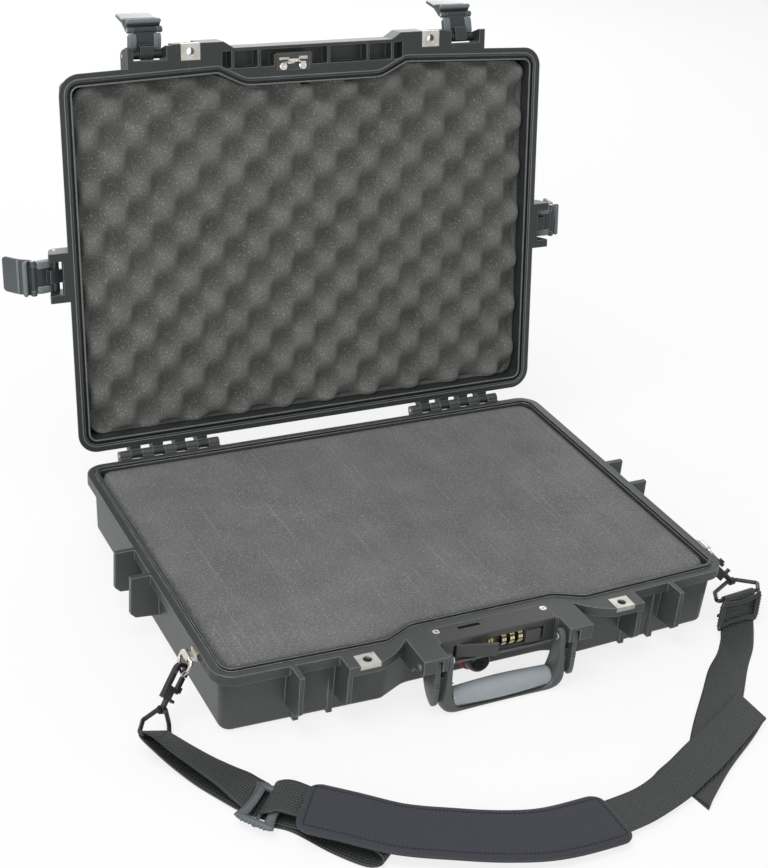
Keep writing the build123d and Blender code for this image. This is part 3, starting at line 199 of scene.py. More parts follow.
def mouldedPlastic(name, colour, gloss, edgeWearAndHighlight, edge=0.0008, grain=0.00003):
    plan = plasticSurface
    material, tree, shader = newMaterial(name)
    spot = objectSpot(tree)
    clouds = speckle(tree, spot, plan["cloudScale"], 4)
    fine = speckle(tree, spot, plan["grainScale"], 2)
    scuffs = speckle(tree, objectSpot(tree, plan["scuffStretch"]), 1, 5, 0.7)
    scuffs = scaled(tree, ramp(tree, scuffs, plan["scuffStops"]), plan["scuffShare"])
    softEdge = softNormal(tree, edge)
    flat = put(tree, "ShaderNodeNewGeometry").outputs["Normal"]
    # edges found from the rounded normal are lightened: partly rubbed wear, partly painted highlight
    facing = put(tree, "ShaderNodeVectorMath", {"operation": "DOT_PRODUCT"}, n0=softEdge, n1=flat)
    edgeWearAndHighlightMask = ramp(tree, facing.outputs["Value"], plan["edgeStops"])
    scale, gain, lift = plan["edgeBreakup"]
    edgeWearAndHighlightMask = sums(tree, "MULTIPLY", edgeWearAndHighlightMask, scaled(tree, speckle(tree, spot, scale, 4), gain, lift))
    edgeWearAndHighlightMask = scaled(tree, edgeWearAndHighlightMask, edgeWearAndHighlight)
    rubbed = grey(tinted(colour, *plan["rubbed"]))
    body = mixed(tree, clouds, grey(tinted(colour, plan["dull"])), grey(tinted(colour, plan["pale"])))
    body = mixed(tree, scuffs, body, rubbed)
    rough = scaled(tree, clouds, plan["cloudGloss"], gloss - plan["cloudGloss"] / 2 - plan["grainGloss"] / 2)
    rough = scaled(tree, fine, plan["grainGloss"], rough)
    normal = bump(tree, fine, grain, plan["grainStrength"], softEdge)
    setShader(tree, shader, colour=mixed(tree, edgeWearAndHighlightMask, body, rubbed), rough=rough, normal=normal)
    setShader(tree, shader, specular=plan["specular"])
    return material


# plated or rolled metal: fine brushing, tiny pits and darker hollows
metalSurface = {
    "brushStretch": (40, 900, 900),
    "brushGloss": 0.22,
    "brushDepth": 0.00001,
    "brushStrength": 0.7,
    "patchScale": 90,
    "patchStops": [(0.35, 1.0), (0.65, 0.0)],
    "pitScale": 2400,
    "pitStops": [(0.30, 1.0), (0.42, 0.0)],
    "pitShare": 0.35,
    "pitTone": 0.3,
    "edge": 0.0004,
}


def platedMetal(name, colour, gloss, tarnish):
    plan = metalSurface
    material, tree, shader = newMaterial(name)
    spot = objectSpot(tree)
    brushed = speckle(tree, objectSpot(tree, plan["brushStretch"]), 1, 4)
    patches = ramp(tree, speckle(tree, spot, plan["patchScale"], 4), plan["patchStops"])
    pits = ramp(tree, speckle(tree, spot, plan["pitScale"], 2), plan["pitStops"])
    body = mixed(tree, patches, grey(colour), grey(tinted(colour, 1 - tarnish)))
    body = mixed(tree, scaled(tree, pits, plan["pitShare"]), body, grey(tinted(colour, plan["pitTone"])))
    rough = scaled(tree, brushed, plan["brushGloss"], gloss - plan["brushGloss"] / 2)
    normal = bump(tree, brushed, plan["brushDepth"], plan["brushStrength"], softNormal(tree, plan["edge"]))
    setShader(tree, shader, colour=body, rough=rough, normal=normal, metal=1.0)
    return material


# open-cell foam: pores, bright cell walls that catch the light, and the cutter's faint lines
foamSurface = {
    "fineScale": 0.9,  # times the cell scale
    "fineShare": 0.9,
    "cloudScale": 22,
    "cloudShare": (0.5, -0.2),
    "sparkStops": [(0.60, 0.0), (0.72, 1.0)],
    "sparkShare": 0.5,
    "streakTurn": 25,  # degrees
    "streakStretch": (420, 9, 9),
    "streakStops": [(0.58, 0.0), (0.74, 1.0)],
    # gain and offset of tone from crest height, darker in the pits: painted shade
    "hollowShadeShare": (0.22, -0.24),
    "poreShare": 0.8,
    "cutPitch": 0.0127,
    "cutWidth": 0.00022,
    "cutSoft": 0.6,
    "strength": 0.9,
}


def openCellFoam(name, dark, pale, cell, depth, streaks=0.0, cuts=0.0, hollow=False):
    plan = foamSurface
    material, tree, shader = newMaterial(name)
    spot = objectSpot(tree)
    pores = put(tree, "ShaderNodeTexVoronoi", {"feature": "F1"}, Vector=spot, Scale=cell).outputs["Distance"]
    fine = speckle(tree, spot, cell * plan["fineScale"], 4, 0.7)
    clouds = speckle(tree, spot, plan["cloudScale"], 4)
    sparks = ramp(tree, speckle(tree, spot, cell * plan["fineScale"], 1, 0.5), plan["sparkStops"])
    tone = scaled(tree, fine, plan["fineShare"], scaled(tree, clouds, *plan["cloudShare"]))
    tone = sums(tree, "ADD", tone, scaled(tree, sparks, plan["sparkShare"]))
    if streaks:
        turned = put(tree, "ShaderNodeMapping", Vector=spot, Scale=plan["streakStretch"])
        turned.inputs["Rotation"].default_value = (0, 0, math.radians(plan["streakTurn"]))
        lines = ramp(tree, speckle(tree, turned.outputs[0], 1, 3, 0.6), plan["streakStops"])
        tone = sums(tree, "ADD", tone, scaled(tree, lines, streaks))
    # darker in the pits and lighter on the crests, from the crest height: painted shade
    if hollow:
        crest = put(tree, "ShaderNodeAttribute", {"attribute_name": "crest"}).outputs["Fac"]
        tone = sums(tree, "ADD", tone, scaled(tree, crest, *plan["hollowShadeShare"]))
    height = scaled(tree, pores, plan["poreShare"], fine)
    if cuts:
        grid = put(tree, "ShaderNodeTexBrick", {"offset": 0.0, "squash": 1.0}, Vector=spot, Scale=1.0)
        grid.inputs["Mortar Size"].default_value = plan["cutWidth"]
        grid.inputs["Mortar Smooth"].default_value = plan["cutSoft"]
        grid.inputs["Brick Width"].default_value = plan["cutPitch"]
        grid.inputs["Row Height"].default_value = plan["cutPitch"]
        height = scaled(tree, grid.outputs["Fac"], -cuts, height)
    colour = mixed(tree, tone, grey(dark), grey(pale))
    setShader(tree, shader, colour=colour, normal=bump(tree, height, depth, plan["strength"]), rough=0.95)
    setShader(tree, shader, specular=0.15, sheen=0.12, sheenRough=0.6)
    return material


# narrow woven webbing, drawn along the strap's own length by its weave map
webSurface = {
    "slant": 0.25,
    "yarnShare": 0.45,
    "ribShare": 0.45,
    "fuzzShare": 0.22,
    "fuzzStretch": (2600, 900, 1),
    "tone": (0.40, 0.42),
    "fuzzGloss": 0.25,
    "glossDrop": 0.12,
    "strength": 0.9,
    "sheenRough": 0.4,
}


def wovenWeb(name, dark, pale, rib, depth=0.00022, gloss=0.55, sheen=0.1):
    plan = webSurface
    material, tree, shader = newMaterial(name)
    weave = put(tree, "ShaderNodeUVMap", {"uv_map": "weave"}).outputs[0]
    split = put(tree, "ShaderNodeSeparateXYZ", Vector=weave)
    wide, long = split.outputs[0], split.outputs[1]
    shift = scaled(tree, sums(tree, "PINGPONG", wide, rib), plan["slant"])
    ribs = sums(tree, "SINE", scaled(tree, sums(tree, "ADD", long, shift), 2 * math.pi / rib))
    yarns = sums(tree, "SINE", scaled(tree, wide, 2 * math.pi / rib))
    stretched = put(tree, "ShaderNodeMapping", Vector=weave, Scale=plan["fuzzStretch"]).outputs[0]
    fuzz = speckle(tree, stretched, 1, 3)
    height = scaled(tree, ribs, plan["ribShare"], scaled(tree, fuzz, plan["fuzzShare"]))
    height = scaled(tree, yarns, plan["yarnShare"], height)
    colour = mixed(tree, scaled(tree, height, *plan["tone"]), grey(dark), grey(pale))
    rough = scaled(tree, fuzz, plan["fuzzGloss"], gloss - plan["glossDrop"])
    setShader(tree, shader, colour=colour, normal=bump(tree, height, depth, plan["strength"]), rough=rough)
    setShader(tree, shader, sheen=sheen, sheenRough=plan["sheenRough"])
    return material


plasticLooks = {
    # name, colour as seen on a screen, gloss, share of pale edges that are partly wear and partly painted
    # highlight, edge radius, and grain where it is finer
    "shell": ("shellPolymer", (62, 65, 64), 0.42, 1.0, 0.0013),
    "lidShell": ("lidPolymer", (43, 46, 46), 0.40, 1.0, 0.0012),
    # a paler copy of the lid plastic for the lid's rim lines: painted highlight
    "rimLinePaintedHighlight": ("rubbedRib", (92, 99, 98), 0.26, 0.6, 0.0004),
    "lock_plastic": ("lockPolymer", (55, 57, 55), 0.36, 0.7, 0.0008),
    "latch_plastic": ("latchPolymer", (66, 72, 73), 0.20, 0.9, 0.0010),
    # a darker copy of the latch plastic for the latch arms: painted shade
    "latchDark": ("latchDark", (44, 48, 49), 0.26, 0.9, 0.0009),
    # a paler copy of the latch plastic for rods, steps and arm cheeks: painted highlight
    "latchPale": ("latchPale", (98, 106, 108), 0.18, 0.9, 0.0007),
    "handle_plastic": ("handlePolymer", (70, 74, 73), 0.34, 0.55, 0.0010),
    "grip": ("gripRubber", (140, 146, 149), 0.26, 0.15, 0.0008, 0.00001),
    "seal": ("sealRubber", (17, 17, 19), 0.34, 0.0, 0.0004),
    "dial_plastic": ("dialPolymer", (24, 25, 26), 0.36, 0.2, 0.0003),
    "digit": ("digitPaint", (206, 190, 146), 0.40, 0.0, 0.0001, 0.00001),
    "valve_red": ("valveRing", (176, 32, 36), 0.45, 0.12, 0.0005),
    "valve_black": ("valveDome", (28, 29, 30), 0.32, 0.1, 0.0006),
    "black_wire": ("blackWire", (30, 31, 32), 0.30, 0.35, 0.0004),
    # a paler copy of the slider plastic, lighter for the light falling on the left slider: painted light
    "slider_plastic": ("sliderPolymer", (80, 85, 88), 0.30, 0.8, 0.0007),
    "sliderDark": ("sliderBlack", (34, 36, 38), 0.22, 1.0, 0.0008),
    "stitch": ("stitchThread", (14, 14, 20), 0.6, 0.0, 0.0008, 0.00002),
}
metalLooks = {
    # name, colour, gloss, tarnish
    "pin_steel": ("pinSteel", (226, 225, 220), 0.30, 0.15),
    "plate_steel": ("plateSteel", (206, 203, 196), 0.38, 0.22),
    "bright_metal": ("nickelPlate", (228, 223, 214), 0.22, 0.25),
    "brass": ("keyBrass", (206, 176, 112), 0.26, 0.35),
}
foamLooks = {
    "base_foam": ("pluckFoam", (54, 54, 55), (139, 139, 140), 620, 0.0006, 0.30, 0.3),
    # the last True darkens the crate foam's pits: painted shade
    "lid_foam": ("crateFoam", (60, 61, 59), (125, 125, 120), 640, 0.0005, 0.0, 0.0, True),
}
webLooks = {
    # name, dark and pale colour, rib spacing, depth, gloss, sheen
    "webbing": ("strapWeb", (10, 11, 11), (58, 62, 61), 0.0029, 0.0004, 0.55, 0.06),
    "pad": ("padTwill", (24, 25, 33), (53, 54, 65), 0.0013, 0.00016, 0.75, 0.15),
    "binding": ("padBinding", (20, 20, 26), (48, 49, 58), 0.0011),
}
materials = {}
for key, (name, colour, *rest) in plasticLooks.items():
    materials[key] = mouldedPlastic(name, fromScreen(*colour), *rest)
for key, (name, colour, *rest) in metalLooks.items():
    materials[key] = platedMetal(name, fromScreen(*colour), *rest)
for looks, maker in ((foamLooks, openCellFoam), (webLooks, wovenWeb)):
    for key, (name, dark, pale, *rest) in looks.items():
        materials[key] = maker(name, fromScreen(*dark), fromScreen(*pale), *rest)
print("Stage 2: materials made")

slotOfNode = {row["node"]: row["material_slot"] for row in frame["record"]["subparts"]}
for nodeName, nodeObject in caseNodes.items():
    look = materials.get(slotOfNode.get(nodeName))
    if nodeName == "lid_shell":
        look = materials["lidShell"]
    # latch arms take the darker copy of the latch plastic: painted shade
    elif nodeName.startswith("latch_arm"):
        look = materials["latchDark"]
    if look is None:
        print("no finish for", nodeName)
        continue
    for slot in nodeObject.material_slots:
        slot.material = look
    if not nodeObject.material_slots:
        nodeObject.data.materials.append(look)
print("Stage 3: finishes put on the frame's pieces")

studioPlan = {
    "floorSize": 9.0,
    "floorDrop": 0.0002,
    "floorTone": 0.86,
    "floorWhite": 0.80,
    "worldLight": 0.50,
    "worldTint": (0.97, 0.985, 1, 1),
    "aim": (0, 0, 0.1),
    # place, size, power
    "lamps": {
        "keyLamp": ((-1.0, -0.5, 2.5), 1.6, 35.0),
        "fillLamp": ((-1.8, -2.1, 0.8), 1.4, 32.0),
        "backLamp": ((0.55, 2.0, 1.25), 1.6, 19.0),
    },
}


def seenDirectly(tree):
    path = put(tree, "ShaderNodeLightPath")
    seen = sums(tree, "MAXIMUM", path.outputs["Is Camera Ray"], path.outputs["Is Glossy Ray"])
    return sums(tree, "MAXIMUM", seen, path.outputs["Is Transmission Ray"])


def makeFloor(plan):
    half = plan["floorSize"] / 2
    mesh = bpy.data.meshes.new("studioFloor")
    corners = [(-half, -half, 0), (half, -half, 0), (half, half, 0), (-half, half, 0)]
    mesh.from_pydata(corners, [], [(0, 1, 2, 3)])
    floor = bpy.data.objects.new("studioFloor", mesh)
    floor.location.z = -plan["floorDrop"]
    bpy.context.scene.collection.objects.link(floor)
    material, tree, shader = newMaterial("studioWhite")
    setShader(tree, shader, colour=grey(plan["floorTone"]), rough=0.9, specular=0.0)
    glow = put(tree, "ShaderNodeEmission", Color=(1, 1, 1, 1), Strength=1.0)
    output = [n for n in tree.nodes if n.type == "OUTPUT_MATERIAL"][0]
    share = scaled(tree, seenDirectly(tree), plan["floorWhite"])
    blendNode = put(tree, "ShaderNodeMixShader", n0=share, n1=shader.outputs[0], n2=glow.outputs[0])
    tree.links.new(blendNode.outputs[0], output.inputs[0])
    mesh.materials.append(material)


def makeSky(plan):
    world = bpy.data.worlds.new("studioSky")
    bpy.context.scene.world = world
    world.use_nodes = True
    tree = world.node_tree
    tree.nodes.clear()
    output = tree.nodes.new("ShaderNodeOutputWorld")
    dim = put(tree, "ShaderNodeBackground", Color=plan["worldTint"], Strength=plan["worldLight"])
    white = put(tree, "ShaderNodeBackground", Color=(1, 1, 1, 1), Strength=1.0)
    seen = seenDirectly(tree)
    blendNode = put(tree, "ShaderNodeMixShader", n0=seen, n1=dim.outputs[0], n2=white.outputs[0])
    tree.links.new(blendNode.outputs[0], output.inputs[0])


def makeLamps(plan):
    for name, (place, size, power) in plan["lamps"].items():
        data = bpy.data.lights.new(name, "AREA")
        data.size = size
        data.energy = power
        lamp = bpy.data.objects.new(name, data)
        bpy.context.scene.collection.objects.link(lamp)
        aim = (Vector(plan["aim"]) - Vector(place)).to_track_quat("-Z", "Y")
        lamp.matrix_world = Matrix.Translation(place) @ aim.to_matrix().to_4x4()


makeFloor(studioPlan)
makeSky(studioPlan)
makeLamps(studioPlan)
bpy.context.scene.view_settings.view_transform = "Standard"
print("Stage 4: studio set")


# mesh helpers
def mm(*numbers):
    return Vector(n / 1000 for n in numbers)


def rail(points):
    return [mm(*p) for p in points]


def turns(count):
    return [2 * math.pi * j / count for j in range(count)]


def skinMesh(name, vertices, faces):
    mesh = bpy.data.meshes.new(name)
    mesh.from_pydata([tuple(v) for v in vertices], [], faces)
    fixer = bmesh.new()
    fixer.from_mesh(mesh)
    bmesh.ops.recalc_face_normals(fixer, faces=fixer.faces)
    fixer.to_mesh(mesh)
    fixer.free()
    return mesh


def placePiece(name, mesh, look, body):
    mesh.materials.append(materials[look])
    piece = bpy.data.objects.new(name, mesh)
    bpy.context.scene.collection.objects.link(piece)
    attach(piece, body)
    return piece


def softPiece(name, vertices, faces, look, uvs=None, body="case_base"):
    # smooth all over, with a weave map where the look needs one
    mesh = skinMesh(name, vertices, faces)
    if uvs is not None:
        layer = mesh.uv_layers.new(name="weave")
        for loop in mesh.loops:
            layer.data[loop.index].uv = uvs[loop.vertex_index]
    for polygon in mesh.polygons:
        polygon.use_smooth = True
    return placePiece(name, mesh, look, body)


def hardPiece(name, mesh, look, body, sharpFrom=38):
    for polygon in mesh.polygons:
        polygon.use_smooth = True
    mesh.set_sharp_from_angle(angle=math.radians(sharpFrom))
    return placePiece(name, mesh, look, body)


def softPlate(name, outline, throw, look, body, bevelBy=0.0006):
    # a flat outline thickened by the throw vector, with its edges rounded over
    shape = bmesh.new()
    face = shape.faces.new([shape.verts.new(p) for p in outline])
    made = bmesh.ops.extrude_face_region(shape, geom=[face])
    moved = [v for v in made["geom"] if isinstance(v, bmesh.types.BMVert)]
    bmesh.ops.translate(shape, verts=moved, vec=throw)
    bmesh.ops.recalc_face_normals(shape, faces=shape.faces)
    bmesh.ops.bevel(shape, geom=list(shape.edges), offset=bevelBy, segments=2, profile=0.6,
                    affect="EDGES", clamp_overlap=True)
    mesh = bpy.data.meshes.new(name)
    shape.to_mesh(mesh)
    shape.free()
    return hardPiece(name, mesh, look, body)


def ringFaces(rings, count, closed):
    faces = []
    for i in range(rings if closed else rings - 1):
        n = (i + 1) % rings
        for j in range(count):
            k = (j + 1) % count
            faces.append((i * count + j, i * count + k, n * count + k, n * count + j))
    if not closed:
        faces.append(tuple(range(count)))
        faces.append(tuple(range((rings - 1) * count, rings * count)))
    return faces


def loftMesh(name, rings, look, body, closed=False):
    # a skin over rings of equal counts
    vertices = [v for ring in rings for v in ring]
    mesh = skinMesh(name, vertices, ringFaces(len(rings), len(rings[0]), closed))
    return hardPiece(name, mesh, look, body)


def turnedMesh(name, profile, centre, axis, look, body, steps=64):
    # profile is (along the axis, radius)
    axis = Vector(axis).normalized()
    side = axis.orthogonal().normalized()
    other = axis.cross(side)
    rings = []
    for along, radius in profile:
        middle = Vector(centre) + axis * along
        rings.append([middle + (side * math.cos(a) + other * math.sin(a)) * radius for a in turns(steps)])
    return loftMesh(name, rings, look, body)


def curveSpot(a, b, c, d, t):
    square, cube = 2 * a - 5 * b + 4 * c - d, 3 * b - a - 3 * c + d
    return 0.5 * ((2 * b) + (c - a) * t + square * t * t + cube * t ** 3)


def smoothLine(points, count, finer=24):
    # an even run of points along a curve through the given ones
    points = [Vector(p) for p in points]
    ends = [points[0] * 2 - points[1]] + points + [points[-1] * 2 - points[-2]]
    raw = []
    for i in range(len(points) - 1):
        raw += [curveSpot(*ends[i:i + 4], j / finer) for j in range(finer)]
    raw.append(points[-1])
    lengths = [0.0]
    for i in range(1, len(raw)):
        lengths.append(lengths[-1] + (raw[i] - raw[i - 1]).length)
    result = []
    k = 0
    for i in range(count):
        goal = lengths[-1] * i / (count - 1)
        while k < len(raw) - 2 and lengths[k + 1] < goal:
            k += 1
        step = lengths[k + 1] - lengths[k]
        result.append(raw[k].lerp(raw[k + 1], (goal - lengths[k]) / step if step else 0))
    return result


def gridSkin(columns, rows):
    # faces of a grid stored column by column, and the indices round its border
    faces = []
    for i in range(columns - 1):
        for j in range(rows - 1):
            a = i * rows + j
            faces.append((a, a + rows, a + rows + 1, a + 1))
    border = list(range(rows))
    border += [i * rows + rows - 1 for i in range(1, columns)]
    border += [(columns - 1) * rows + j for j in range(rows - 2, -1, -1)]
    border += [i * rows for i in range(columns - 2, 0, -1)]
    return faces, border


def addSkirt(vertices, faces, border, rings):
    # walls from a border down through rings of points, closed by the last one
    previous = border
    for points in rings:
        ring = list(range(len(vertices), len(vertices) + len(points)))
        vertices.extend(points)
        for k in range(len(ring)):
            n = (k + 1) % len(ring)
            faces.append((previous[k], previous[n], ring[n], ring[k]))
        previous = ring
    faces.append(tuple(previous))


# the lid's hinge line and how far it stands open
hingeLine = {"y": 0.1945, "z": 0.0647, "open": math.radians(98.8)}


def openedSpot(x, y, z):
    # a point of the closed lid, swung open about the hinge line
    dy, dz = y - hingeLine["y"], z - hingeLine["z"]
    c, s = math.cos(-hingeLine["open"]), math.sin(-hingeLine["open"])
    return Vector((x, hingeLine["y"] + c * dy - s * dz, hingeLine["z"] + s * dy + c * dz))


# the rim seen from above: straight back and sides, a front that swells towards a shallow notch
rimPath = {
    "half": 0.2565,
    "back": 0.1862,
    "cornerY": -0.184,
    "swellY": -0.1896,
    "notchOuter": 0.098,
    "notchInner": 0.070,
    "notchDepth": 0.0135,
    "round": 0.020,
    "step": 0.07,  # radians between points on a corner
    "soften": (-0.009, -0.006, -0.003, 0.0, 0.003, 0.006, 0.009),
}


def frontKnots(plan):
    # right half of the front edge, from the notch outwards
    swell = plan["swellY"]
    inner, outer = (plan["notchInner"], swell + plan["notchDepth"]), (plan["notchOuter"], swell)
    return [inner, outer, (plan["half"], plan["cornerY"])]


def rimLoop(plan, inset):
    # the outline drawn in by a given width, as (point, inward side) pairs
    right = frontKnots(plan) + [(plan["half"], plan["back"])]
    corners = [Vector((-x, y, 0)) for x, y in reversed(right)] + [Vector((x, y, 0)) for x, y in right]
    loop = []
    for i, corner in enumerate(corners):
        before = (corner - corners[i - 1]).normalized()
        after = (corners[(i + 1) % len(corners)] - corner).normalized()
        turn = math.atan2(before.x * after.y - before.y * after.x, before.dot(after))
        radius = math.copysign(plan["round"], turn)
        side = Vector((-before.y, before.x, 0))
        centre = corner - before * plan["round"] * math.tan(abs(turn) / 2) + side * radius
        steps = max(3, round(abs(turn) / plan["step"]))
        for k in range(steps + 1):
            inward = Matrix.Rotation(turn * k / steps, 3, "Z") @ side
            loop.append((centre - inward * (radius - inset), inward))
    return loop


def frontLine(plan, x, inset):
    # the front edge at one x, with its corners softened
    right = frontKnots(plan)
    knots = [(-a, b) for a, b in reversed(right)] + right
    total = 0.0
    for offset in plan["soften"]:
        at = min(max(x + offset, -plan["half"]), plan["half"])
        for (x0, y0), (x1, y1) in zip(knots, knots[1:]):
            if x0 <= at <= x1:
                total += y0 + (y1 - y0) * (at - x0) / (x1 - x0)
                break
    return total / len(plan["soften"]) + inset


def foamRegion(plan):
    # columns of points that fill the opening out to its rounded corners
    inset, pitch, corner = plan["inset"], plan["pitch"], plan["corner"]
    halfWide, back = rimPath["half"] - inset, rimPath["back"] - inset
    columns, rows = int(2 * halfWide / pitch), int(2 * back / pitch)
    grid = []
    for i in range(columns + 1):
        x = -halfWide + 2 * halfWide * i / columns
        near = max(0.0, abs(x) - (halfWide - corner))
        cut = corner - math.sqrt(max(0.0, corner ** 2 - near ** 2))
        low, high = frontLine(rimPath, x, inset) + cut, back - cut
        grid.append([(x, low + (high - low) * j / rows) for j in range(rows + 1)])
    return grid


def edgeDistance(plan, x, y):
    inset, corner = plan["inset"], plan["corner"]
    halfWide, back = rimPath["half"] - inset, rimPath["back"] - inset
    front = frontLine(rimPath, x, inset)
    side = min(halfWide - abs(x), back - y, y - front)
    dx = abs(x) - (halfWide - corner)
    for dy in (y - (back - corner), front + corner - y):
        if dx > 0 and dy > 0:
            side = min(side, corner - math.hypot(dx, dy))
    return max(0.0, side)


# egg-crate foam in the lid
crateFoam = {
    "inset": 0.0142,
    "corner": 0.014,
    "faceLevel": 0.0680,  # crests, with the lid closed
    "valley": 0.0165,
    "pitchX": 0.049,
    "pitchY": 0.0505,
    "firstPit": (-0.0077, -0.078),
    "turn": 0.029,
    "pitch": 0.0026,
    "steepness": 8.4,
    "steepShare": 0.55,
    "ripple": (60, 0.05),  # scale, height
    "edgeWave": 0.0016,
    "edgeRun": 0.006,
    "edgeRoll": 0.0045,
    "skirt": (0.006, 0.018, 0.034, 0.0465),
    "skirtStart": 0.0015,
    "skirtDraft": 8,  # degrees
    "skirtReach": 0.24,
}


def crateHeight(plan, x, y):
    # 0 in the pits, 1 on the crests
    u = (x - plan["firstPit"][0]) / plan["pitchX"]
    v = (y + plan["turn"] * x - plan["firstPit"][1]) / plan["pitchY"]
    wave = 0.5 - 0.5 * math.cos(2 * math.pi * u) * math.cos(2 * math.pi * v)

    def steep(value):
        return 1 / (1 + math.exp(-(value - 0.5) * plan["steepness"]))

    shaped = (steep(wave) - steep(0)) / (steep(1) - steep(0))
    shaped = plan["steepShare"] * shaped + (1 - plan["steepShare"]) * wave
    scale, height = plan["ripple"]
    return min(1.0, max(0.0, shaped + noise.noise(Vector((x * scale, y * scale, 3.0))) * height))


def makeCrateFoam(plan):
    grid = foamRegion(plan)
    vertices, crests = [], []
    for x, y in (spot for column in grid for spot in column):
        d = edgeDistance(plan, x, y)
        rise = crateHeight(plan, x, y)
        crests.append(rise)
        pull = plan["edgeWave"] * (1 - rise) * math.exp(-d / plan["edgeRun"])
        x2 = x - math.copysign(pull, x) * (abs(x) > abs(y))
        y2 = y - math.copysign(pull, y) * (abs(y) >= abs(x) * 0.7)
        roll = plan["edgeRoll"] * max(0.0, 1 - d / plan["edgeRun"]) ** 2
        vertices.append(openedSpot(x2, y2, plan["faceLevel"] + plan["valley"] * (1 - rise) + roll))
    rows = len(grid[0])
    faces, border = gridSkin(len(grid), rows)
    rings = []
    for depth in plan["skirt"]:
        shrink = 1 - depth * math.tan(math.radians(plan["skirtDraft"])) / plan["skirtReach"]
        level = plan["faceLevel"] + plan["skirtStart"] + depth
        spots = [grid[b // rows][b % rows] for b in border]
        rings.append([openedSpot(x * shrink, y * shrink, level) for x, y in spots])
    addSkirt(vertices, faces, border, rings)
    piece = softPiece("crateFoam", vertices, faces, "lid_foam", body="lid")
    # crest heights, which the foam material turns into painted shade in the pits
    crest = piece.data.attributes.new("crest", "FLOAT", "POINT")
    for i, rise in enumerate(crests):
        crest.data[i].value = rise
    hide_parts("lid_foam")


makeCrateFoam(crateFoam)

# pick-and-pluck foam in the base
pluckFoam = {
    "inset": 0.0130,
    "corner": 0.013,
    "top": 0.0634,
    "bottom": 0.0122,
    "pitch": 0.0060,
    "roll": 0.0016,
    "rollRun": 0.003,
    "unevenness": (14, 0.0004),  # scale, height
    "skirtStart": 0.004,
    "skirtDraft": 2.5,  # degrees
    "skirtReach": 0.20,
}


def makePluckFoam(plan):
    grid = foamRegion(plan)
    scale, height = plan["unevenness"]
    vertices = []
    for x, y in (spot for column in grid for spot in column):
        sink = plan["roll"] * max(0.0, 1 - edgeDistance(plan, x, y) / plan["rollRun"]) ** 2
        soft = height * noise.noise(Vector((x * scale, y * scale, 7.0)))
        vertices.append(Vector((x, y, plan["top"] - sink - height + soft)))
    rows = len(grid[0])
    faces, border = gridSkin(len(grid), rows)
    rings = []
    for level in (plan["top"] - plan["skirtStart"], (plan["top"] + plan["bottom"]) / 2, plan["bottom"]):
        shrink = 1 - (plan["top"] - level) * math.tan(math.radians(plan["skirtDraft"])) / plan["skirtReach"]
        spots = [grid[b // rows][b % rows] for b in border]
        rings.append([Vector((x * shrink, y * shrink, level)) for x, y in spots])
    addSkirt(vertices, faces, border, rings)
    piece = softPiece("pluckFoam", vertices, faces, "base_foam")
    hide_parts("base_foam_pluck")


makePluckFoam(pluckFoam)
print("Stage 5: foams made")

# webbing: flat faces, rounded selvages, closed ends
webShape = {
    "thickness": 0.0016,
    "nominal": 0.038,
    "columns": 12,
    "undersideShift": 0.1,
}


def strapMesh(leftRail, rightRail, count):
    # a woven strip between two rails
    plan = webShape
    left, right = smoothLine(rail(leftRail), count), smoothLine(rail(rightRail), count)
    half = plan["thickness"] / 2
    edge = half / plan["nominal"]
    flats = [edge + (1 - 2 * edge) * i / plan["columns"] for i in range(plan["columns"] + 1)]
    profile = [(share, 1.0) for share in flats]
    profile += [(1.0 - 0.1 * edge, 0.45), (1.0, 0.0), (1.0 - 0.1 * edge, -0.45)]
    profile += [(share, -1.0) for share in reversed(flats)]
    profile += [(0.1 * edge, -0.45), (0.0, 0.0), (0.1 * edge, 0.45)]
    vertices, uvs = [], []
    run = 0.0
    for i in range(count):
        before, after = max(i - 1, 0), min(i + 1, count - 1)
        along = (left[after] + right[after] - left[before] - right[before]).normalized()
        across = right[i] - left[i]
        up = across.cross(along).normalized()
        if i:
            run += ((left[i] + right[i] - left[i - 1] - right[i - 1]) / 2).length
        for share, side in profile:
            vertices.append(left[i] + across * share + up * side * half)
            uvs.append((share * across.length + (plan["undersideShift"] if side < 0 else 0.0), run))
    return vertices, ringFaces(count, len(profile), False), uvs


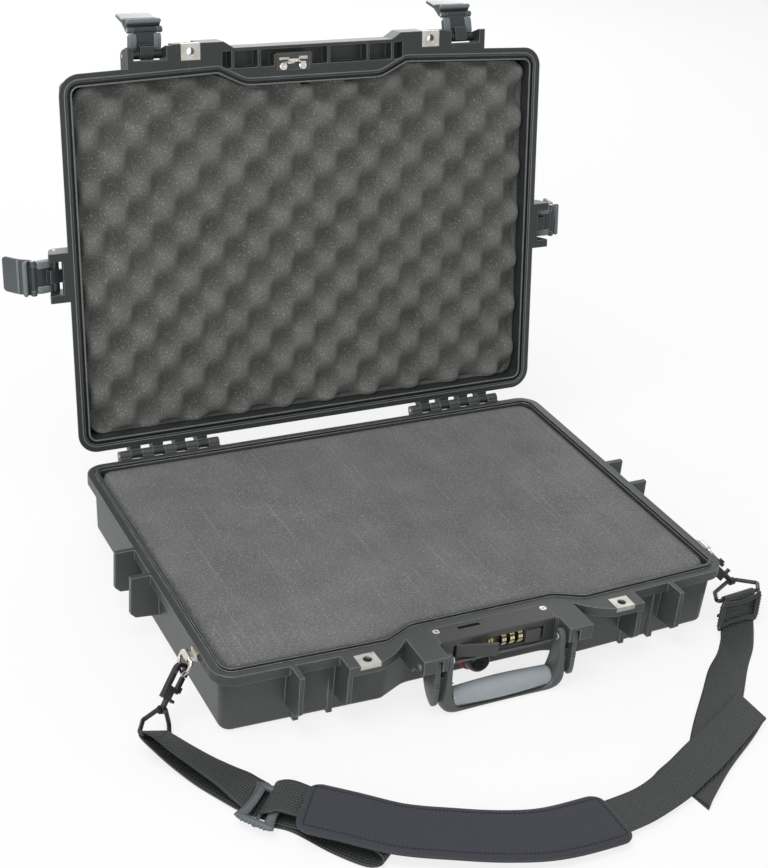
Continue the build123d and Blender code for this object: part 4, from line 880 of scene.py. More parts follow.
# each strap: the nodes it stands for, how many sections, and its two edges in mm
straps = {
    "strapLeft": {
        "replaces": ("webbing_left",),
        "count": 190,
        "left": [(-234.0, -311.0, 3.6), (-248.0, -298.0, 3.4), (-262.0, -283.0, 3.2),
                 (-270.0, -272.5, 3.0), (-279.5, -254.5, 2.6), (-291.5, -230.5, 2.6),
                 (-304.0, -207.5, 7.5), (-314.0, -193.0, 15.5), (-320.6, -183.4, 21.8),
                 (-321.6, -180.0, 24.4), (-319.6, -181.4, 27.4), (-313.5, -189.5, 27.0),
                 (-303.5, -206.0, 21.5), (-291.0, -227.0, 16.5), (-280.5, -246.0, 12.5),
                 (-273.5, -262.0, 9.2), (-269.5, -271.0, 7.4), (-264.0, -280.5, 6.0)],
        "right": [(-209.0, -279.0, 3.6), (-222.0, -267.0, 3.4), (-237.0, -251.5, 3.0),
                  (-243.0, -243.0, 2.6), (-255.0, -224.0, 1.6), (-266.0, -207.0, 1.4),
                  (-275.5, -193.0, 1.4), (-285.5, -177.0, 1.5), (-292.8, -165.6, 2.6),
                  (-293.8, -162.6, 5.0), (-291.6, -164.4, 7.4), (-287.0, -172.0, 7.0),
                  (-278.0, -187.0, 5.6), (-266.0, -206.5, 4.6), (-255.0, -223.5, 5.2),
                  (-247.0, -236.5, 6.8), (-242.0, -245.5, 6.6), (-236.5, -254.0, 6.0)],
    },
    "strapLeftArch": {
        "replaces": (),
        "count": 50,
        "left": [(-259.0, -287.5, 8.4), (-257.5, -290.0, 11.0), (-252.5, -294.0, 13.2),
                 (-247.0, -295.0, 13.6), (-236.0, -303.5, 12.6), (-219.0, -316.5, 11.2)],
        "right": [(-231.5, -257.0, 8.4), (-230.0, -259.5, 11.6), (-225.0, -264.0, 14.6),
                  (-218.5, -269.5, 15.0), (-207.5, -280.0, 13.0), (-193.0, -292.5, 11.0)],
    },
    "strapTail": {
        "replaces": ("webbing_tail",),
        "count": 80,
        "left": [(-255.0, -296.0, 1.6), (-240.0, -309.0, 1.6), (-221.0, -341.0, 1.6),
                 (-203.0, -364.0, 1.8), (-193.0, -370.0, 4.5), (-190.5, -366.0, 9.0),
                 (-199.0, -350.0, 10.6), (-215.0, -326.0, 10.6)],
        "right": [(-226.0, -273.0, 1.6), (-211.0, -286.5, 1.6), (-191.0, -318.5, 1.6),
                  (-173.0, -341.0, 1.8), (-163.0, -347.0, 4.0), (-160.5, -343.0, 7.4),
                  (-169.0, -327.0, 8.6), (-185.0, -303.0, 9.0)],
    },
    "strapRightRun": {
        "replaces": ("webbing_right", "webbing_right_end"),
        "count": 150,
        "left": [(263.0, -175.5, 20.0), (262.5, -177.8, 25.0), (262.0, -182.5, 27.0),
                 (259.5, -187.0, 21.0), (254.5, -193.5, 12.0), (249.5, -199.5, 4.4), (242.0, -210.0, 1.6),
                 (226.0, -226.5, 1.2), (203.5, -244.5, 1.2), (178.5, -270.0, 1.2), (132.0, -318.0, 1.2),
                 (84.0, -376.5, 1.2)],
        "right": [(299.5, -172.5, 20.0), (299.5, -174.5, 25.0), (299.5, -179.0, 27.0),
                  (297.5, -184.0, 21.0), (293.5, -191.0, 12.0), (289.5, -197.5, 4.4), (281.0, -210.5, 1.6),
                  (264.0, -232.0, 1.2), (239.5, -256.5, 1.2), (210.5, -289.0, 1.2), (160.0, -344.0, 1.2),
                  (88.5, -406.0, 1.2)],
    },
    "strapRightMiddle": {
        "replaces": (),
        "count": 60,
        "left": [(84.5, -378.5, 3.1), (112.0, -352.0, 3.1), (160.0, -314.0, 3.1), (203.0, -287.5, 3.1)],
        "right": [(89.5, -404.5, 3.1), (134.0, -372.0, 3.1), (178.0, -345.0, 3.1), (204.5, -327.0, 3.1)],
    },
    "strapRightTop": {
        "replaces": (),
        "count": 90,
        "left": [(204.5, -286.0, 5.2), (160.0, -310.5, 5.4), (114.0, -334.5, 8.0), (90.0, -346.0, 6.4),
                 (74.0, -352.5, 5.2), (61.0, -359.5, 5.6), (38.5, -367.0, 6.4), (6.0, -371.5, 7.4)],
        "right": [(205.5, -328.0, 5.2), (168.0, -347.5, 5.4), (128.0, -369.5, 5.8), (108.0, -378.5, 6.0),
                  (94.4, -384.8, 5.8), (73.5, -393.5, 5.4), (36.5, -404.5, 5.4), (6.0, -409.5, 5.8)],
    },
}


def makeStraps(plan):
    for name, strap in plan.items():
        vertices, faces, uvs = strapMesh(strap["left"], strap["right"], strap["count"])
        piece = softPiece(name, vertices, faces, "webbing", uvs)
        if strap["replaces"]:
            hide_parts(*strap["replaces"])


makeStraps(straps)

# shoulder pad: a long curved cushion with bound edges and sewn ends
shoulderPad = {
    "centre": [(-227.6, -298.5), (-199.0, -320.0), (-166.0, -346.0), (-130.0, -364.0), (-87.0, -382.0),
               (-47.5, -391.0), (8.0, -391.0)],
    "rows": 150,
    "columns": 28,
    "width": 0.0560,
    "thick": 0.0068,
    "leftRise": 0.0129,
    "rightRise": 0.0036,
    "riseCurve": 0.8,
    "corner": 0.012,
    "edgeShare": 0.42,  # of the thickness left at the rim
    "edgeRun": 0.0035,
    "stitch": 0.0050,
    "seam": (0.0011, 0.0011),  # depth, half width
    "underSeam": 0.6,
    "wrinkle": (40, 0.0004),  # scale, height
    "tape": (0.0032, 0.0024, 10),  # tall, wide, sides
    "thread": (0.0030, 0.00028, 6),  # pace, radius, sides
    "threadLevel": 0.92,
    "boxRows": ((1, 14), (-2, -15)),  # near and far rows of the sewn boxes
    "boxSides": (0.10, 0.90),
}


def lineFrames(line):
    # each point with its sideways direction and the run up to it
    run = 0.0
    for i, spot in enumerate(line):
        if i:
            run += (spot - line[i - 1]).length
        along = (line[min(i + 1, len(line) - 1)] - line[max(i - 1, 0)]).normalized()
        yield spot, Vector((-along.y, along.x, 0)), run


def lengthOf(line):
    return sum((b - a).length for a, b in zip(line, line[1:]))


def padRise(plan, share):
    return plan["leftRise"] + (plan["rightRise"] - plan["leftRise"]) * share ** plan["riseCurve"]


def makePad(plan):
    line = smoothLine([mm(x, y, 0) for x, y in plan["centre"]], plan["rows"])
    total = lengthOf(line)
    half, corner, wide = plan["width"] / 2, plan["corner"], plan["columns"]
    seamDeep, seamWide = plan["seam"]
    scale, height = plan["wrinkle"]
    top, low, uvs = [], [], []
    for spot, side, run in lineFrames(line):
        ends = min(run, total - run)
        cut = corner - math.sqrt(max(0.0, corner ** 2 - (corner - ends) ** 2)) if ends < corner else 0.0
        reach = half - cut
        for j in range(wide + 1):
            share = 2 * j / wide - 1
            edge = min(reach * (1 - abs(share)), ends)
            swell = (1 - plan["edgeShare"]) * (1 - math.exp(-edge / plan["edgeRun"]))
            fat = 0.5 * plan["thick"] * (plan["edgeShare"] + swell)
            seam = seamDeep * math.exp(-((edge - plan["stitch"]) / seamWide) ** 2)
            wrinkle = height * noise.noise(Vector((run * scale, share * 2.0, 1.0)))
            middle = spot + side * (reach * share)
            middle.z += padRise(plan, run / total) + plan["thick"] / 2
            top.append(middle + Vector((0, 0, fat - seam + wrinkle)))
            low.append(middle - Vector((0, 0, fat - seam * plan["underSeam"])))
            uvs.append((reach * share, run))
    vertices = top + low
    shift = len(top)
    faces, border = gridSkin(len(line), wide + 1)
    faces += [(shift + a, shift + d, shift + c, shift + b) for a, b, c, d in faces]
    border = border[:1] + border[:0:-1]
    for a, b in zip(border, border[1:] + border[:1]):
        faces.append((a, b, shift + b, shift + a))
    piece = softPiece("shoulderPad", vertices, faces, "pad", uvs + uvs)
    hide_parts("shoulder_pad")
    makeTape("padBindingTape", [(vertices[b] + vertices[shift + b]) / 2 for b in border], *plan["tape"])
    makeStitches("padStitches", stitchLines(plan, line, total), *plan["thread"])


def between(first, second, steps):
    return [first.lerp(second, k / steps) for k in range(steps + 1)]


def stitchLines(plan, line, total):
    inset = plan["width"] / 2 - plan["stitch"]
    rows = []
    for sign in (1, -1):
        row = []
        for spot, side, run in lineFrames(line):
            if min(run, total - run) >= plan["stitch"]:
                level = padRise(plan, run / total) + plan["thick"] * plan["threadLevel"]
                row.append(spot + side * inset * sign + Vector((0, 0, level)))
        rows.append(row)
    lines = rows + [between(rows[0][end], rows[1][end], 12) for end in (0, -1)]
    # box stitching that ties the straps to the pad: the far side and the two long sides of each box
    for near, far in plan["boxRows"]:
        a, b = (rows[0][near].lerp(rows[1][near], share) for share in plan["boxSides"])
        d, c = (rows[0][far].lerp(rows[1][far], share) for share in plan["boxSides"])
        lines += [between(first, second, 14) for first, second in ((c, d), (a, c), (b, d))]
    return lines


def makeTape(name, loop, tall, wide, sides):
    # bound edge: a rounded tape folded over the rim
    count = len(loop)
    vertices, uvs = [], []
    run = 0.0
    for i, spot in enumerate(loop):
        along = (loop[(i + 1) % count] - loop[i - 1]).normalized()
        side = along.cross(Vector((0, 0, 1))).normalized()
        if i:
            run += (spot - loop[i - 1]).length
        for a in turns(sides):
            vertices.append(spot + side * math.cos(a) * wide / 2 + Vector((0, 0, math.sin(a) * tall / 2)))
            uvs.append((a * tall / 4, run))
    softPiece(name, vertices, ringFaces(count, sides, True), "binding", uvs)


# how one thread swells and dips along its length: share, size, lift
threadForm = ((0.0, 0.4, -0.5), (0.25, 1.0, 0.0), (0.75, 1.0, 0.0), (1.0, 0.4, -0.5))


def makeStitches(name, lines, pace, radius, sides):
    # short raised threads with a gap between one and the next
    vertices, faces = [], []
    for line in lines:
        marks = smoothLine(line, max(2, int(lengthOf(line) / pace)) * 2 + 1)
        for i in range(0, len(marks) - 1, 2):
            a, b = marks[i], marks[i].lerp(marks[i + 1], 1.35)
            side = (b - a).normalized().cross(Vector((0, 0, 1))).normalized()
            start = len(vertices)
            for share, size, lift in threadForm:
                spot = a.lerp(b, share) + Vector((0, 0, lift * radius))
                for angle in turns(sides):
                    up = Vector((0, 0, math.sin(angle) * radius * size))
                    vertices.append(spot + side * math.cos(angle) * radius * size + up)
            for face in ringFaces(len(threadForm), sides, False):
                faces.append(tuple(start + v for v in face))
    softPiece(name, vertices, faces, "stitch")


makePad(shoulderPad)
print("Stage 6: straps and pad made")

# raised dark bead round the base opening, over the moulded one
rimBead = {
    "inset": 0.0094,
    "half": 0.00132,
    "foot": 0.0641,
    "top": 0.06664,
    "section": [(-1.0, 0.0), (-1.0, 0.45), (-0.8, 0.8), (-0.4, 0.97), (0.0, 1.0), (0.4, 0.97), (0.8, 0.8),
                (1.0, 0.45), (1.0, 0.0)],
}


def makeRimBead(plan):
    rise = plan["top"] - plan["foot"]
    rings = []
    for spot, side in rimLoop(rimPath, plan["inset"]):
        foot = spot + Vector((0, 0, plan["foot"]))
        rings.append([foot + side * plan["half"] * a + Vector((0, 0, rise * b)) for a, b in plan["section"]])
    loftMesh("rimBead", rings, "seal", "case_base", closed=True)


makeRimBead(rimBead)

# two raised lines moulded round the lid's rim, on the face that meets the base, in a paler copy of the lid
# plastic as painted highlight
lidLines = {"insets": (0.0054, 0.0117), "half": 0.00055, "proud": 0.00034, "rim": 0.0644, "sides": 10}


def makeLidLines(plan):
    for index, inset in enumerate(plan["insets"]):
        rings = []
        for spot, side in rimLoop(rimPath, inset):
            ring = []
            for a in turns(plan["sides"]):
                at = spot + side * plan["half"] * math.cos(a)
                ring.append(openedSpot(at.x, at.y, plan["rim"] - plan["proud"] * math.sin(a)))
            rings.append(ring)
        loftMesh(f"lidRimLine{index + 1}", rings, "rimLinePaintedHighlight", "lid", closed=True)


makeLidLines(lidLines)

# carrying handle: swept frame, outer prongs and a swollen grip, all in mm
handleLook = {
    # x, z, lean of the section in degrees, thickness, depth, middle y
    "stations": [
        (56.3, 60.0, 0, 5.4, 4.0, -212.5),
        (56.3, 59.2, 0, 6.4, 8.0, -212.5),
        (56.3, 57.0, 0, 6.6, 11.2, -212.5),
        (56.3, 53.5, 0, 6.6, 13.0, -212.5),
        (56.3, 47.0, 0, 6.6, 14.0, -212.0),
        (56.4, 38.0, 0, 6.8, 16.6, -211.4),
        (56.6, 29.0, 0, 7.4, 19.4, -210.8),
        (56.8, 21.0, 4, 9.2, 21.4, -210.4),
        (56.0, 13.4, 20, 12.4, 22.0, -210.2),
        (53.4, 8.2, 45, 12.6, 21.6, -210.1),
        (48.8, 4.9, 70, 9.0, 20.6, -210.1),
        (43.0, 2.9, 84, 5.0, 19.2, -210.1),
        (34.0, 1.9, 90, 3.2, 17.6, -210.1),
        (18.0, 1.6, 90, 2.6, 16.6, -210.1),
        (0.0, 1.5, 90, 2.4, 16.4, -210.1),
    ],
    "sections": 46,
    "sectionPoints": 28,
    "squareness": 3.2,
    "gripEnds": (-49.6, 50.2),
    "gripRadius": (8.7, 10.3),
    "gripMiddle": (-210.1, 11.7),
    "gripSteps": 48,
    "gripSwell": 1.2,
    "gripRound": 2.4,
    "gripCap": (0.25, 1.3),  # length and depth of the small step at each end
    "pivot": (-212.5, 53.5),
    "prongX": 68.4,
    "prongWidth": 4.6,
    # y and z about the pivot
    "prongSide": [(-6.5, 0.0), (-6.6, -10.0), (-6.9, -22.0), (-6.8, -32.0), (-6.0, -38.8), (-4.6, -41.6),
                  (-2.0, -42.7), (1.6, -41.8), (6.4, -38.6), (11.0, -33.6), (14.6, -27.4), (16.2, -21.0),
                  (14.8, -14.6), (11.0, -8.6), (8.0, -4.4), (6.5, 0.0), (5.6, 3.2), (3.2, 5.6), (0.0, 6.5),
                  (-3.2, 5.6), (-5.6, 3.2)],
    "webX": (58.8, 66.8),
    "webSide": [(-213.6, 12.0), (-207.5, 12.0), (-207.5, 38.0), (-213.6, 38.0)],
    "notchFace": -219.5,
    "notchTall": 0.7,
    "notchLevels": ((34.5, -0.0007), (31.5, -0.0004)),  # height, how far it stands out in metres
    "notchColumns": ((56.3, 5.8), (68.4, 4.0)),  # x, width
}


def sectionRing(plan, x, z, lean, thick, depth, y):
    lean = math.radians(lean)
    out = Vector((math.cos(lean), 0, -math.sin(lean)))
    power = 2 / plan["squareness"]
    ring = []
    for angle in turns(plan["sectionPoints"]):
        c, s = math.cos(angle), math.sin(angle)
        a = math.copysign(abs(c) ** power, c) * thick / 2
        b = math.copysign(abs(s) ** power, s) * depth / 2
        ring.append((Vector((x, y, z)) + out * a + Vector((0, b, 0))) / 1000)
    return ring


def smoothPair(spots, shapes, count):
    # both lists follow the same spacing, so that the sections stay with their places
    line, look = [], []
    for i in range(count):
        at = i / (count - 1) * (len(spots) - 1)
        k = min(int(at), len(spots) - 2)
        for source, target in ((spots, line), (shapes, look)):
            before, after = source[max(k - 1, 0)], source[min(k + 2, len(source) - 1)]
            target.append(curveSpot(before, source[k], source[k + 1], after, at - k))
    return line, look


def makeHandleFrame(plan):
    spots = [Vector(station[:3]) for station in plan["stations"]]
    shapes = [Vector(station[3:]) for station in plan["stations"]]
    spots, shapes = smoothPair(spots, shapes, plan["sections"])
    rings = [sectionRing(plan, *p, *q) for p, q in zip(spots, shapes)]
    mirrored = [[Vector((-v.x, v.y, v.z)) for v in ring] for ring in reversed(rings[:-1])]
    piece = loftMesh("handleSweep", rings + mirrored, "handle_plastic", "handle")
    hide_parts("handle_frame")


def makeHandleSides(plan):
    def part(name, outline, throw, bevelBy):
        softPlate(name, outline, Vector(throw), "handle_plastic", "handle", bevelBy)

    pivotY, pivotZ = plan["pivot"]
    for side, tag in ((-1, "Left"), (1, "Right")):
        x = side * (plan["prongX"] - plan["prongWidth"] / 2)
        outline = [mm(x, y + pivotY, z + pivotZ) for y, z in plan["prongSide"]]
        part("handleProng" + tag, outline, (side * plan["prongWidth"] / 1000, 0, 0), 0.0009)
        inner, outer = (side * x / 1000 for x in plan["webX"])
        outline = [Vector((inner, y / 1000, z / 1000)) for y, z in plan["webSide"]]
        part("handleWeb" + tag, outline, (outer - inner, 0, 0), 0.0005)
        tall = plan["notchTall"]
        for z, throw in plan["notchLevels"]:
            for x, wide in plan["notchColumns"]:
                corners = ((-wide, -tall), (wide, -tall), (wide, tall), (-wide, tall))
                outline = [mm(side * x + dx / 2, plan["notchFace"], z + dz) for dx, dz in corners]
                part("handleNotch", outline, (0, throw, 0), 0.0002)


def makeGrip(plan):
    low, high = plan["gripEnds"]
    small, large = plan["gripRadius"]
    steps, soft = plan["gripSteps"], plan["gripRound"]
    profile = []
    for k in range(steps + 1):
        share = k / steps
        radius = small + (large - small) * math.sin(math.pi * share) ** plan["gripSwell"]
        ends = min(share, 1 - share) * (high - low)
        if ends < soft:
            radius -= soft - math.sqrt(max(0.0, soft ** 2 - (soft - ends) ** 2))
        profile.append(((low + (high - low) * share) / 1000, radius / 1000))
    capLong, capDeep = plan["gripCap"]
    profile.insert(1, ((low + capLong) / 1000, (small - capDeep) / 1000))
    profile.insert(-1, ((high - capLong) / 1000, (small - capDeep) / 1000))
    piece = turnedMesh("handleGrip", profile, mm(0, *plan["gripMiddle"]), (1, 0, 0), "grip", "handle", 72)
    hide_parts("handle_grip")


makeHandleFrame(handleLook)
makeHandleSides(handleLook)
makeGrip(handleLook)

# pressure valve: red collar behind a black dome, in mm
valveLook = {
    "x": -6.5,
    "z": 20.8,
    "collarBack": -167.5,
    "collar": [(0, 14.4), (0.4, 15.0), (6.5, 15.0), (7.3, 14.5), (7.7, 13.6), (7.7, 11.0)],  # along, radius
    "domeBack": -175.2,
    "domeRadius": 12.0,
    "domeLong": 12.0,
    "domeFoot": [(-6.8, 3.4), (0.2, 3.4), (0.2, 11.2), (1.0, 12.0)],
    "domeAngles": (0.4, 0.7, 0.95, 1.15, 1.35, 1.5708),
    "domeFlat": 0.62,
    "domeTip": [(11.8, 4.8), (11.1, 4.32), (11.1, 0.4)],
}


def makeValve(plan):
    def part(name, profile, back, look):
        profile = [(along / 1000, radius / 1000) for along, radius in profile]
        return turnedMesh(name, profile, mm(plan["x"], back, plan["z"]), (0, -1, 0), look, "case_base")

    piece = part("valveRing", plan["collar"], plan["collarBack"], "valve_red")
    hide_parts("valve_collar")
    radius, flat, foot = plan["domeRadius"], plan["domeFlat"], plan["domeFoot"][-1][0]
    dome = list(plan["domeFoot"])
    for a in plan["domeAngles"]:
        rise = (plan["domeLong"] - foot) * math.sin(a)
        dome.append((foot + rise, radius * (flat + (1 - flat) * math.cos(a))))
    piece = part("valveDome", dome + plan["domeTip"], plan["domeBack"], "valve_black")
    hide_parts("valve_cap")


makeValve(valveLook)

# strap sliders: bowed three-bar buckles with ribbed ends, in mm
sliderLooks = {
    "left": {
        "centre": (-251.6, -281.0, 9.0),
        "across": (0.737, 0.675, 0.0),
        "along": (0.60, -0.80, 0.0),
        "wide": 47.0,
        "long": 34.0,
        "bow": 4.4,
        "broad": 2.8,
        "hidden": 3.4,
        # the paler slider plastic: painted light
        "look": "slider_plastic",
        "replaces": "web_slider_left",
    },
    "right": {
        "centre": (273.4, -193.2, 17.2),
        "across": (0.99, 0.08, 0.0),
        "along": (-0.36, -0.42, -0.80),
        "wide": 50.0,
        "long": 29.0,
        "bow": 3.0,
        "broad": 1.9,
        "hidden": 5.0,
        "look": "sliderDark",
        "replaces": "web_slider_right",
    },
}
sliderShape = {
    "barInset": 3.2,
    "barShort": 2.2,
    "barPinch": 0.26,
    "barRadius": 1.5,
    "middleRadius": 1.2,
    "bowShare": 0.4,
    "barSwell": (1.25, 0.35),
    "barSteps": 32,
    "barSides": 18,
    "cheekInset": 3.4,
    "cheekTall": (0.6, 2.4),
    "cheekThick": (1.0, 2.4),
    "cheekFlat": 0.9,
    "cheekSteps": 24,
    "cheekSides": 14,
    "ribs": 7,
    "ribPace": 0.2,
    "ribWide": 1.5,
    "ribInset": 0.6,
    "ribSide": ((-1.6, -1.6), (0.9, -1.3), (0.9, 1.3), (-1.6, 2.2)),
}


def makeSlider(side, plan):
    shape = sliderShape
    centre, across, along = Vector(plan["centre"]), Vector(plan["across"]), Vector(plan["along"])
    across.normalize()
    along.normalize()
    up = across.cross(along).normalized()
    if up.z < 0:
        up = -up
    halfWide, halfLong = plan["wide"] / 2, plan["long"] / 2

    def place(u, v, w):
        return (centre + across * u + along * v + up * w) / 1000

    def bar(name, v0, pinch, radius, flat, sink=0.0):
        # a cross bar that bows up in its middle and thins towards it
        reach = halfWide - shape["barShort"]
        fat, thin = shape["barSwell"]
        rings = []
        for k in range(shape["barSteps"] + 1):
            u = -reach + 2 * reach * k / shape["barSteps"]
            share = 1 - (u / halfWide) ** 2
            v = v0 * (1 - pinch * share)
            lift = plan["bow"] * shape["bowShare"] * share - sink
            thick = radius * (fat - thin * share)
            sides = [(math.cos(a) * thick, math.sin(a) * thick) for a in turns(shape["barSides"])]
            rings.append([place(u, v + c * flat, lift + s) for c, s in sides])
        return loftMesh(name, rings, plan["look"], "case_base")

    def cheek(sign):
        rings = []
        for k in range(shape["cheekSteps"] + 1):
            v = -halfLong + 2 * halfLong * k / shape["cheekSteps"]
            full = math.sqrt(max(0.0, 1 - (v / halfLong) ** 4))
            tall, thick = (least + more * full for least, more in (shape["cheekTall"], shape["cheekThick"]))
            middle = sign * (halfWide - shape["cheekInset"])
            ring = [(middle + math.cos(a) * thick, math.sin(a) * tall) for a in turns(shape["cheekSides"])]
            rings.append([place(u, v, w * shape["cheekFlat"]) for u, w in ring])
        loftMesh("sliderCheek_" + side, rings, plan["look"], "case_base")

    def rib(sign, index):
        v = (index - shape["ribs"] // 2) * halfLong * shape["ribPace"] - shape["ribWide"] / 2
        outer = halfWide - shape["ribInset"]
        outline = [place(sign * (outer + a), v, b) for a, b in shape["ribSide"]]
        throw = along * shape["ribWide"] / 1000
        softPlate("sliderRib_" + side, outline, throw, plan["look"], "case_base", 0.0003)

    far = halfLong - shape["barInset"]
    outer = bar("sliderBar_" + side, -far, shape["barPinch"], shape["barRadius"], plan["broad"])
    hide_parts(plan["replaces"])
    bar("sliderBarFar_" + side, far, shape["barPinch"], shape["barRadius"], plan["broad"])
    bar("sliderBarMiddle_" + side, 0.0, 0.0, shape["middleRadius"], 1.2, plan["hidden"])
    for sign in (-1, 1):
        cheek(sign)
        for index in range(shape["ribs"]):
            rib(sign, index)


for side, plan in sliderLooks.items():
    makeSlider(side, plan)
print("Stage 7: handle, valve and sliders made")

# lid lock strike: dark pocket, bent bracket, a two-pronged tongue and two domed screws, in mm
strikeLook = {
    "rim": 64.4,
    # name: x from and to about the middle, y from and to, level from and to about the rim, look, edge radius
    "blocks": {
        "strikePocket": (-17.2, 17.2, -191.8, -176.2, 0.1, 1.6, "lock_plastic", 0.5),
        "strikeLip": (-18.0, 18.0, -193.2, -191.8, -0.3, 1.4, "lock_plastic", 0.4),
        "strikeBracket": (-5.2, 6.8, -187.2, -183.8, -0.3, 0.6, "bright_metal", 0.6),
        "strikeTabLeft": (-14.8, -4.4, -188.8, -186.2, -0.35, 0.4, "plate_steel", 0.5),
        "strikeTabRight": (6.0, 15.0, -189.4, -186.2, -0.35, 0.4, "plate_steel", 0.5),
        "strikeProngLeft": (-9.8, -4.6, -185.3, -183.7, -8.8, 0.4, "bright_metal", 0.4),
        "strikeProngRight": (4.6, 9.8, -185.3, -183.7, -8.8, 0.4, "bright_metal", 0.4),
        "strikeBridge": (-1.0, 1.4, -184.6, -182.6, -0.3, 0.4, "plate_steel", 0.4),
    },
    "screwSpread": 20.5,
    "screwY": -180.0,
    "head": 4.1,
    "headFoot": (-1.2, -0.4),
    "headRise": 0.85,
    "headAngles": (0.35, 0.7, 1.0),
    "recess": [(0.38, 0.9), (0.1, 0.6), (0.1, 0.1)],  # along, radius
}


def makeStrike(plan):
    # drawn on the closed lid and swung open with it
    low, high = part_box("lock_strike")
    middle, rim = (low.x + high.x) / 2, plan["rim"] / 1000
    for name, (x0, x1, y0, y1, z0, z1, look, bevelBy) in plan["blocks"].items():
        x0, x1, y0, y1, z0, z1 = (v / 1000 for v in (x0, x1, y0, y1, z0, z1))
        corners = ((x0, y0), (x1, y0), (x1, y1), (x0, y1))
        outline = [openedSpot(middle + x, y, rim + z0) for x, y in corners]
        throw = openedSpot(0, 0, z1) - openedSpot(0, 0, z0)
        piece = softPlate(name, outline, throw, look, "lid", bevelBy / 1000)
        if name == "strikePocket":
            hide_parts("lock_strike")
    out = openedSpot(0, 0, 0) - openedSpot(0, 0, 1)
    head, foot = plan["head"], plan["headFoot"]
    profile = [(along, head) for along in foot]
    profile += [(foot[1] + plan["headRise"] * math.sin(a), head * math.cos(a)) for a in plan["headAngles"]]
    profile = [(along / 1000, radius / 1000) for along, radius in profile + plan["recess"]]
    for sign, name in ((-1, "strikeScrewLeft"), (1, "strikeScrewRight")):
        spot = openedSpot(middle + sign * plan["screwSpread"] / 2000, plan["screwY"] / 1000, rim)
        piece = turnedMesh(name, profile, spot, out, "bright_metal", "lid", 40)
        if sign < 0:
            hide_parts("strike_screws")


makeStrike(strikeLook)

# latches: where each stands on the rim, which way it faces, and how far arm and lever stand open
latchPlan = {
    "front_left": {"edge": (-0.1675, -0.187144), "away": (0, -1, 0), "arm": 82.0, "lever": 67.0},
    "front_right": {"edge": (0.1675, -0.187144), "away": (0, -1, 0), "arm": 103.0, "lever": 47.0},
    "left": {"edge": (-0.2565, 0.0057), "away": (-1, 0, 0), "arm": 73.0, "lever": 59.0},
    "right": {"edge": (0.2565, 0.0057), "away": (1, 0, 0), "arm": 88.0, "lever": 59.0},
}
latchShape = {
    "rim": 0.064,
    "armPivot": (0.009, 0.017),
    "leverPivot": (0.001, -0.0234),
    # the rest is in mm, in the plane across the latch
    "cheek": [(1.4, -3.4), (-2.4, -4.8), (-3.2, -8.0), (-3.0, -16.8), (-1.6, -20.1), (1.4, -20.1)],
    "cheekSpan": (8.6, 15.6),
    "plateHalf": 17.2,
    "plateX": 2.0,
    "plateThick": 1.8,
    "plateThin": 0.25,
    "plateRound": 0.9,
    "straight": (-3.4, -3.7, -6.0, -10.0, -14.0, -15.6),
    "bend": -16.0,
    "flare": 19.5,  # degrees
    "flareRuns": (0.8, 4.0, 8.0, 12.0, 15.0, 16.6, 17.8, 19.0, 20.0, 20.8, 21.3, 21.6),
    "reach": 21.6,
    "corner": 5.0,
    "dish": 0.5,
    "tab": [(0.2, 1.0), (2.5, 0.5), (2.9, -1.2), (3.8, -3.6), (3.8, -5.0), (0.2, -5.0)],
    "tabSpan": (11.6, 17.2),
    "barrelFrom": 11.4,
    "barrel": [(0.0, 2.2), (0.5, 3.0), (5.3, 3.0), (5.8, 2.4)],  # along, radius
    "catch": [(0.6, -4.4), (-5.6, -4.2), (-5.6, -7.0), (0.6, -7.4)],
    "catchSpan": (-16.6, 16.6),
    "rodSpot": (-5.6, -5.6),
    "rodHalf": 17.0,
    "rodRadius": 2.3,
    "rodEnd": (0.55, 1.6),
    "rodSteps": 24,
    "rodSides": 20,
    "step": [(0.4, -14.2), (-1.1, -14.6), (-1.1, -16.6), (0.6, -17.6)],
    "stepSpan": (-16.4, 16.4),
}


def latchPlanes(plan):
    # origin and axes of the arm and of the lever, swung open with the lid
    away, up = Vector(plan["away"]), Vector((0, 0, 1))
    along = away.cross(up)
    turn = Matrix.Rotation(-hingeLine["open"], 3, "X")
    origin = openedSpot(*plan["edge"], latchShape["rim"])

    def spun(base, pivot, angle):
        o, a, b, c = base
        o = o + a * pivot[0] + b * pivot[1]
        angle = math.radians(angle)
        return o, a * math.cos(angle) + b * math.sin(angle), b * math.cos(angle) - a * math.sin(angle), c

    arm = spun((origin, turn @ away, turn @ up, turn @ along), latchShape["armPivot"], plan["arm"])
    return arm, spun(arm, latchShape["leverPivot"], plan["lever"])


def inPlane(base, x, y, z):
    o, a, b, c = base
    return o + (a * x + b * y + c * z) / 1000


def crossPlate(name, base, outline, span, look, body, bevelBy):
    # an outline in the latch's plane, thickened along the rim
    corners = [inPlane(base, x, y, span[0]) for x, y in outline]
    throw = inPlane(base, 0, 0, span[1]) - inPlane(base, 0, 0, span[0])
    softPlate(name, corners, throw, look, body, bevelBy)


def leverStations(shape):
    # spot, facing, thickness and how far the corners are cut, down the finger plate
    flare, corner, reach = math.radians(shape["flare"]), shape["corner"], shape["reach"]
    stations = [(shape["plateX"], y, 1.0, 0.0, shape["plateThick"], 0.0) for y in shape["straight"]]
    for run in shape["flareRuns"]:
        left = reach - run
        cut = 0.0 if left > corner else corner - math.sqrt(corner ** 2 - (corner - left) ** 2)
        thin = shape["plateThick"] * (1 - shape["plateThin"] * run / reach) * min(1.0, 0.35 + left / 1.2)
        x, y = shape["plateX"] + run * math.sin(flare), shape["bend"] - run * math.cos(flare)
        stations.append((x, y, math.cos(flare), math.sin(flare), thin, cut))
    return stations


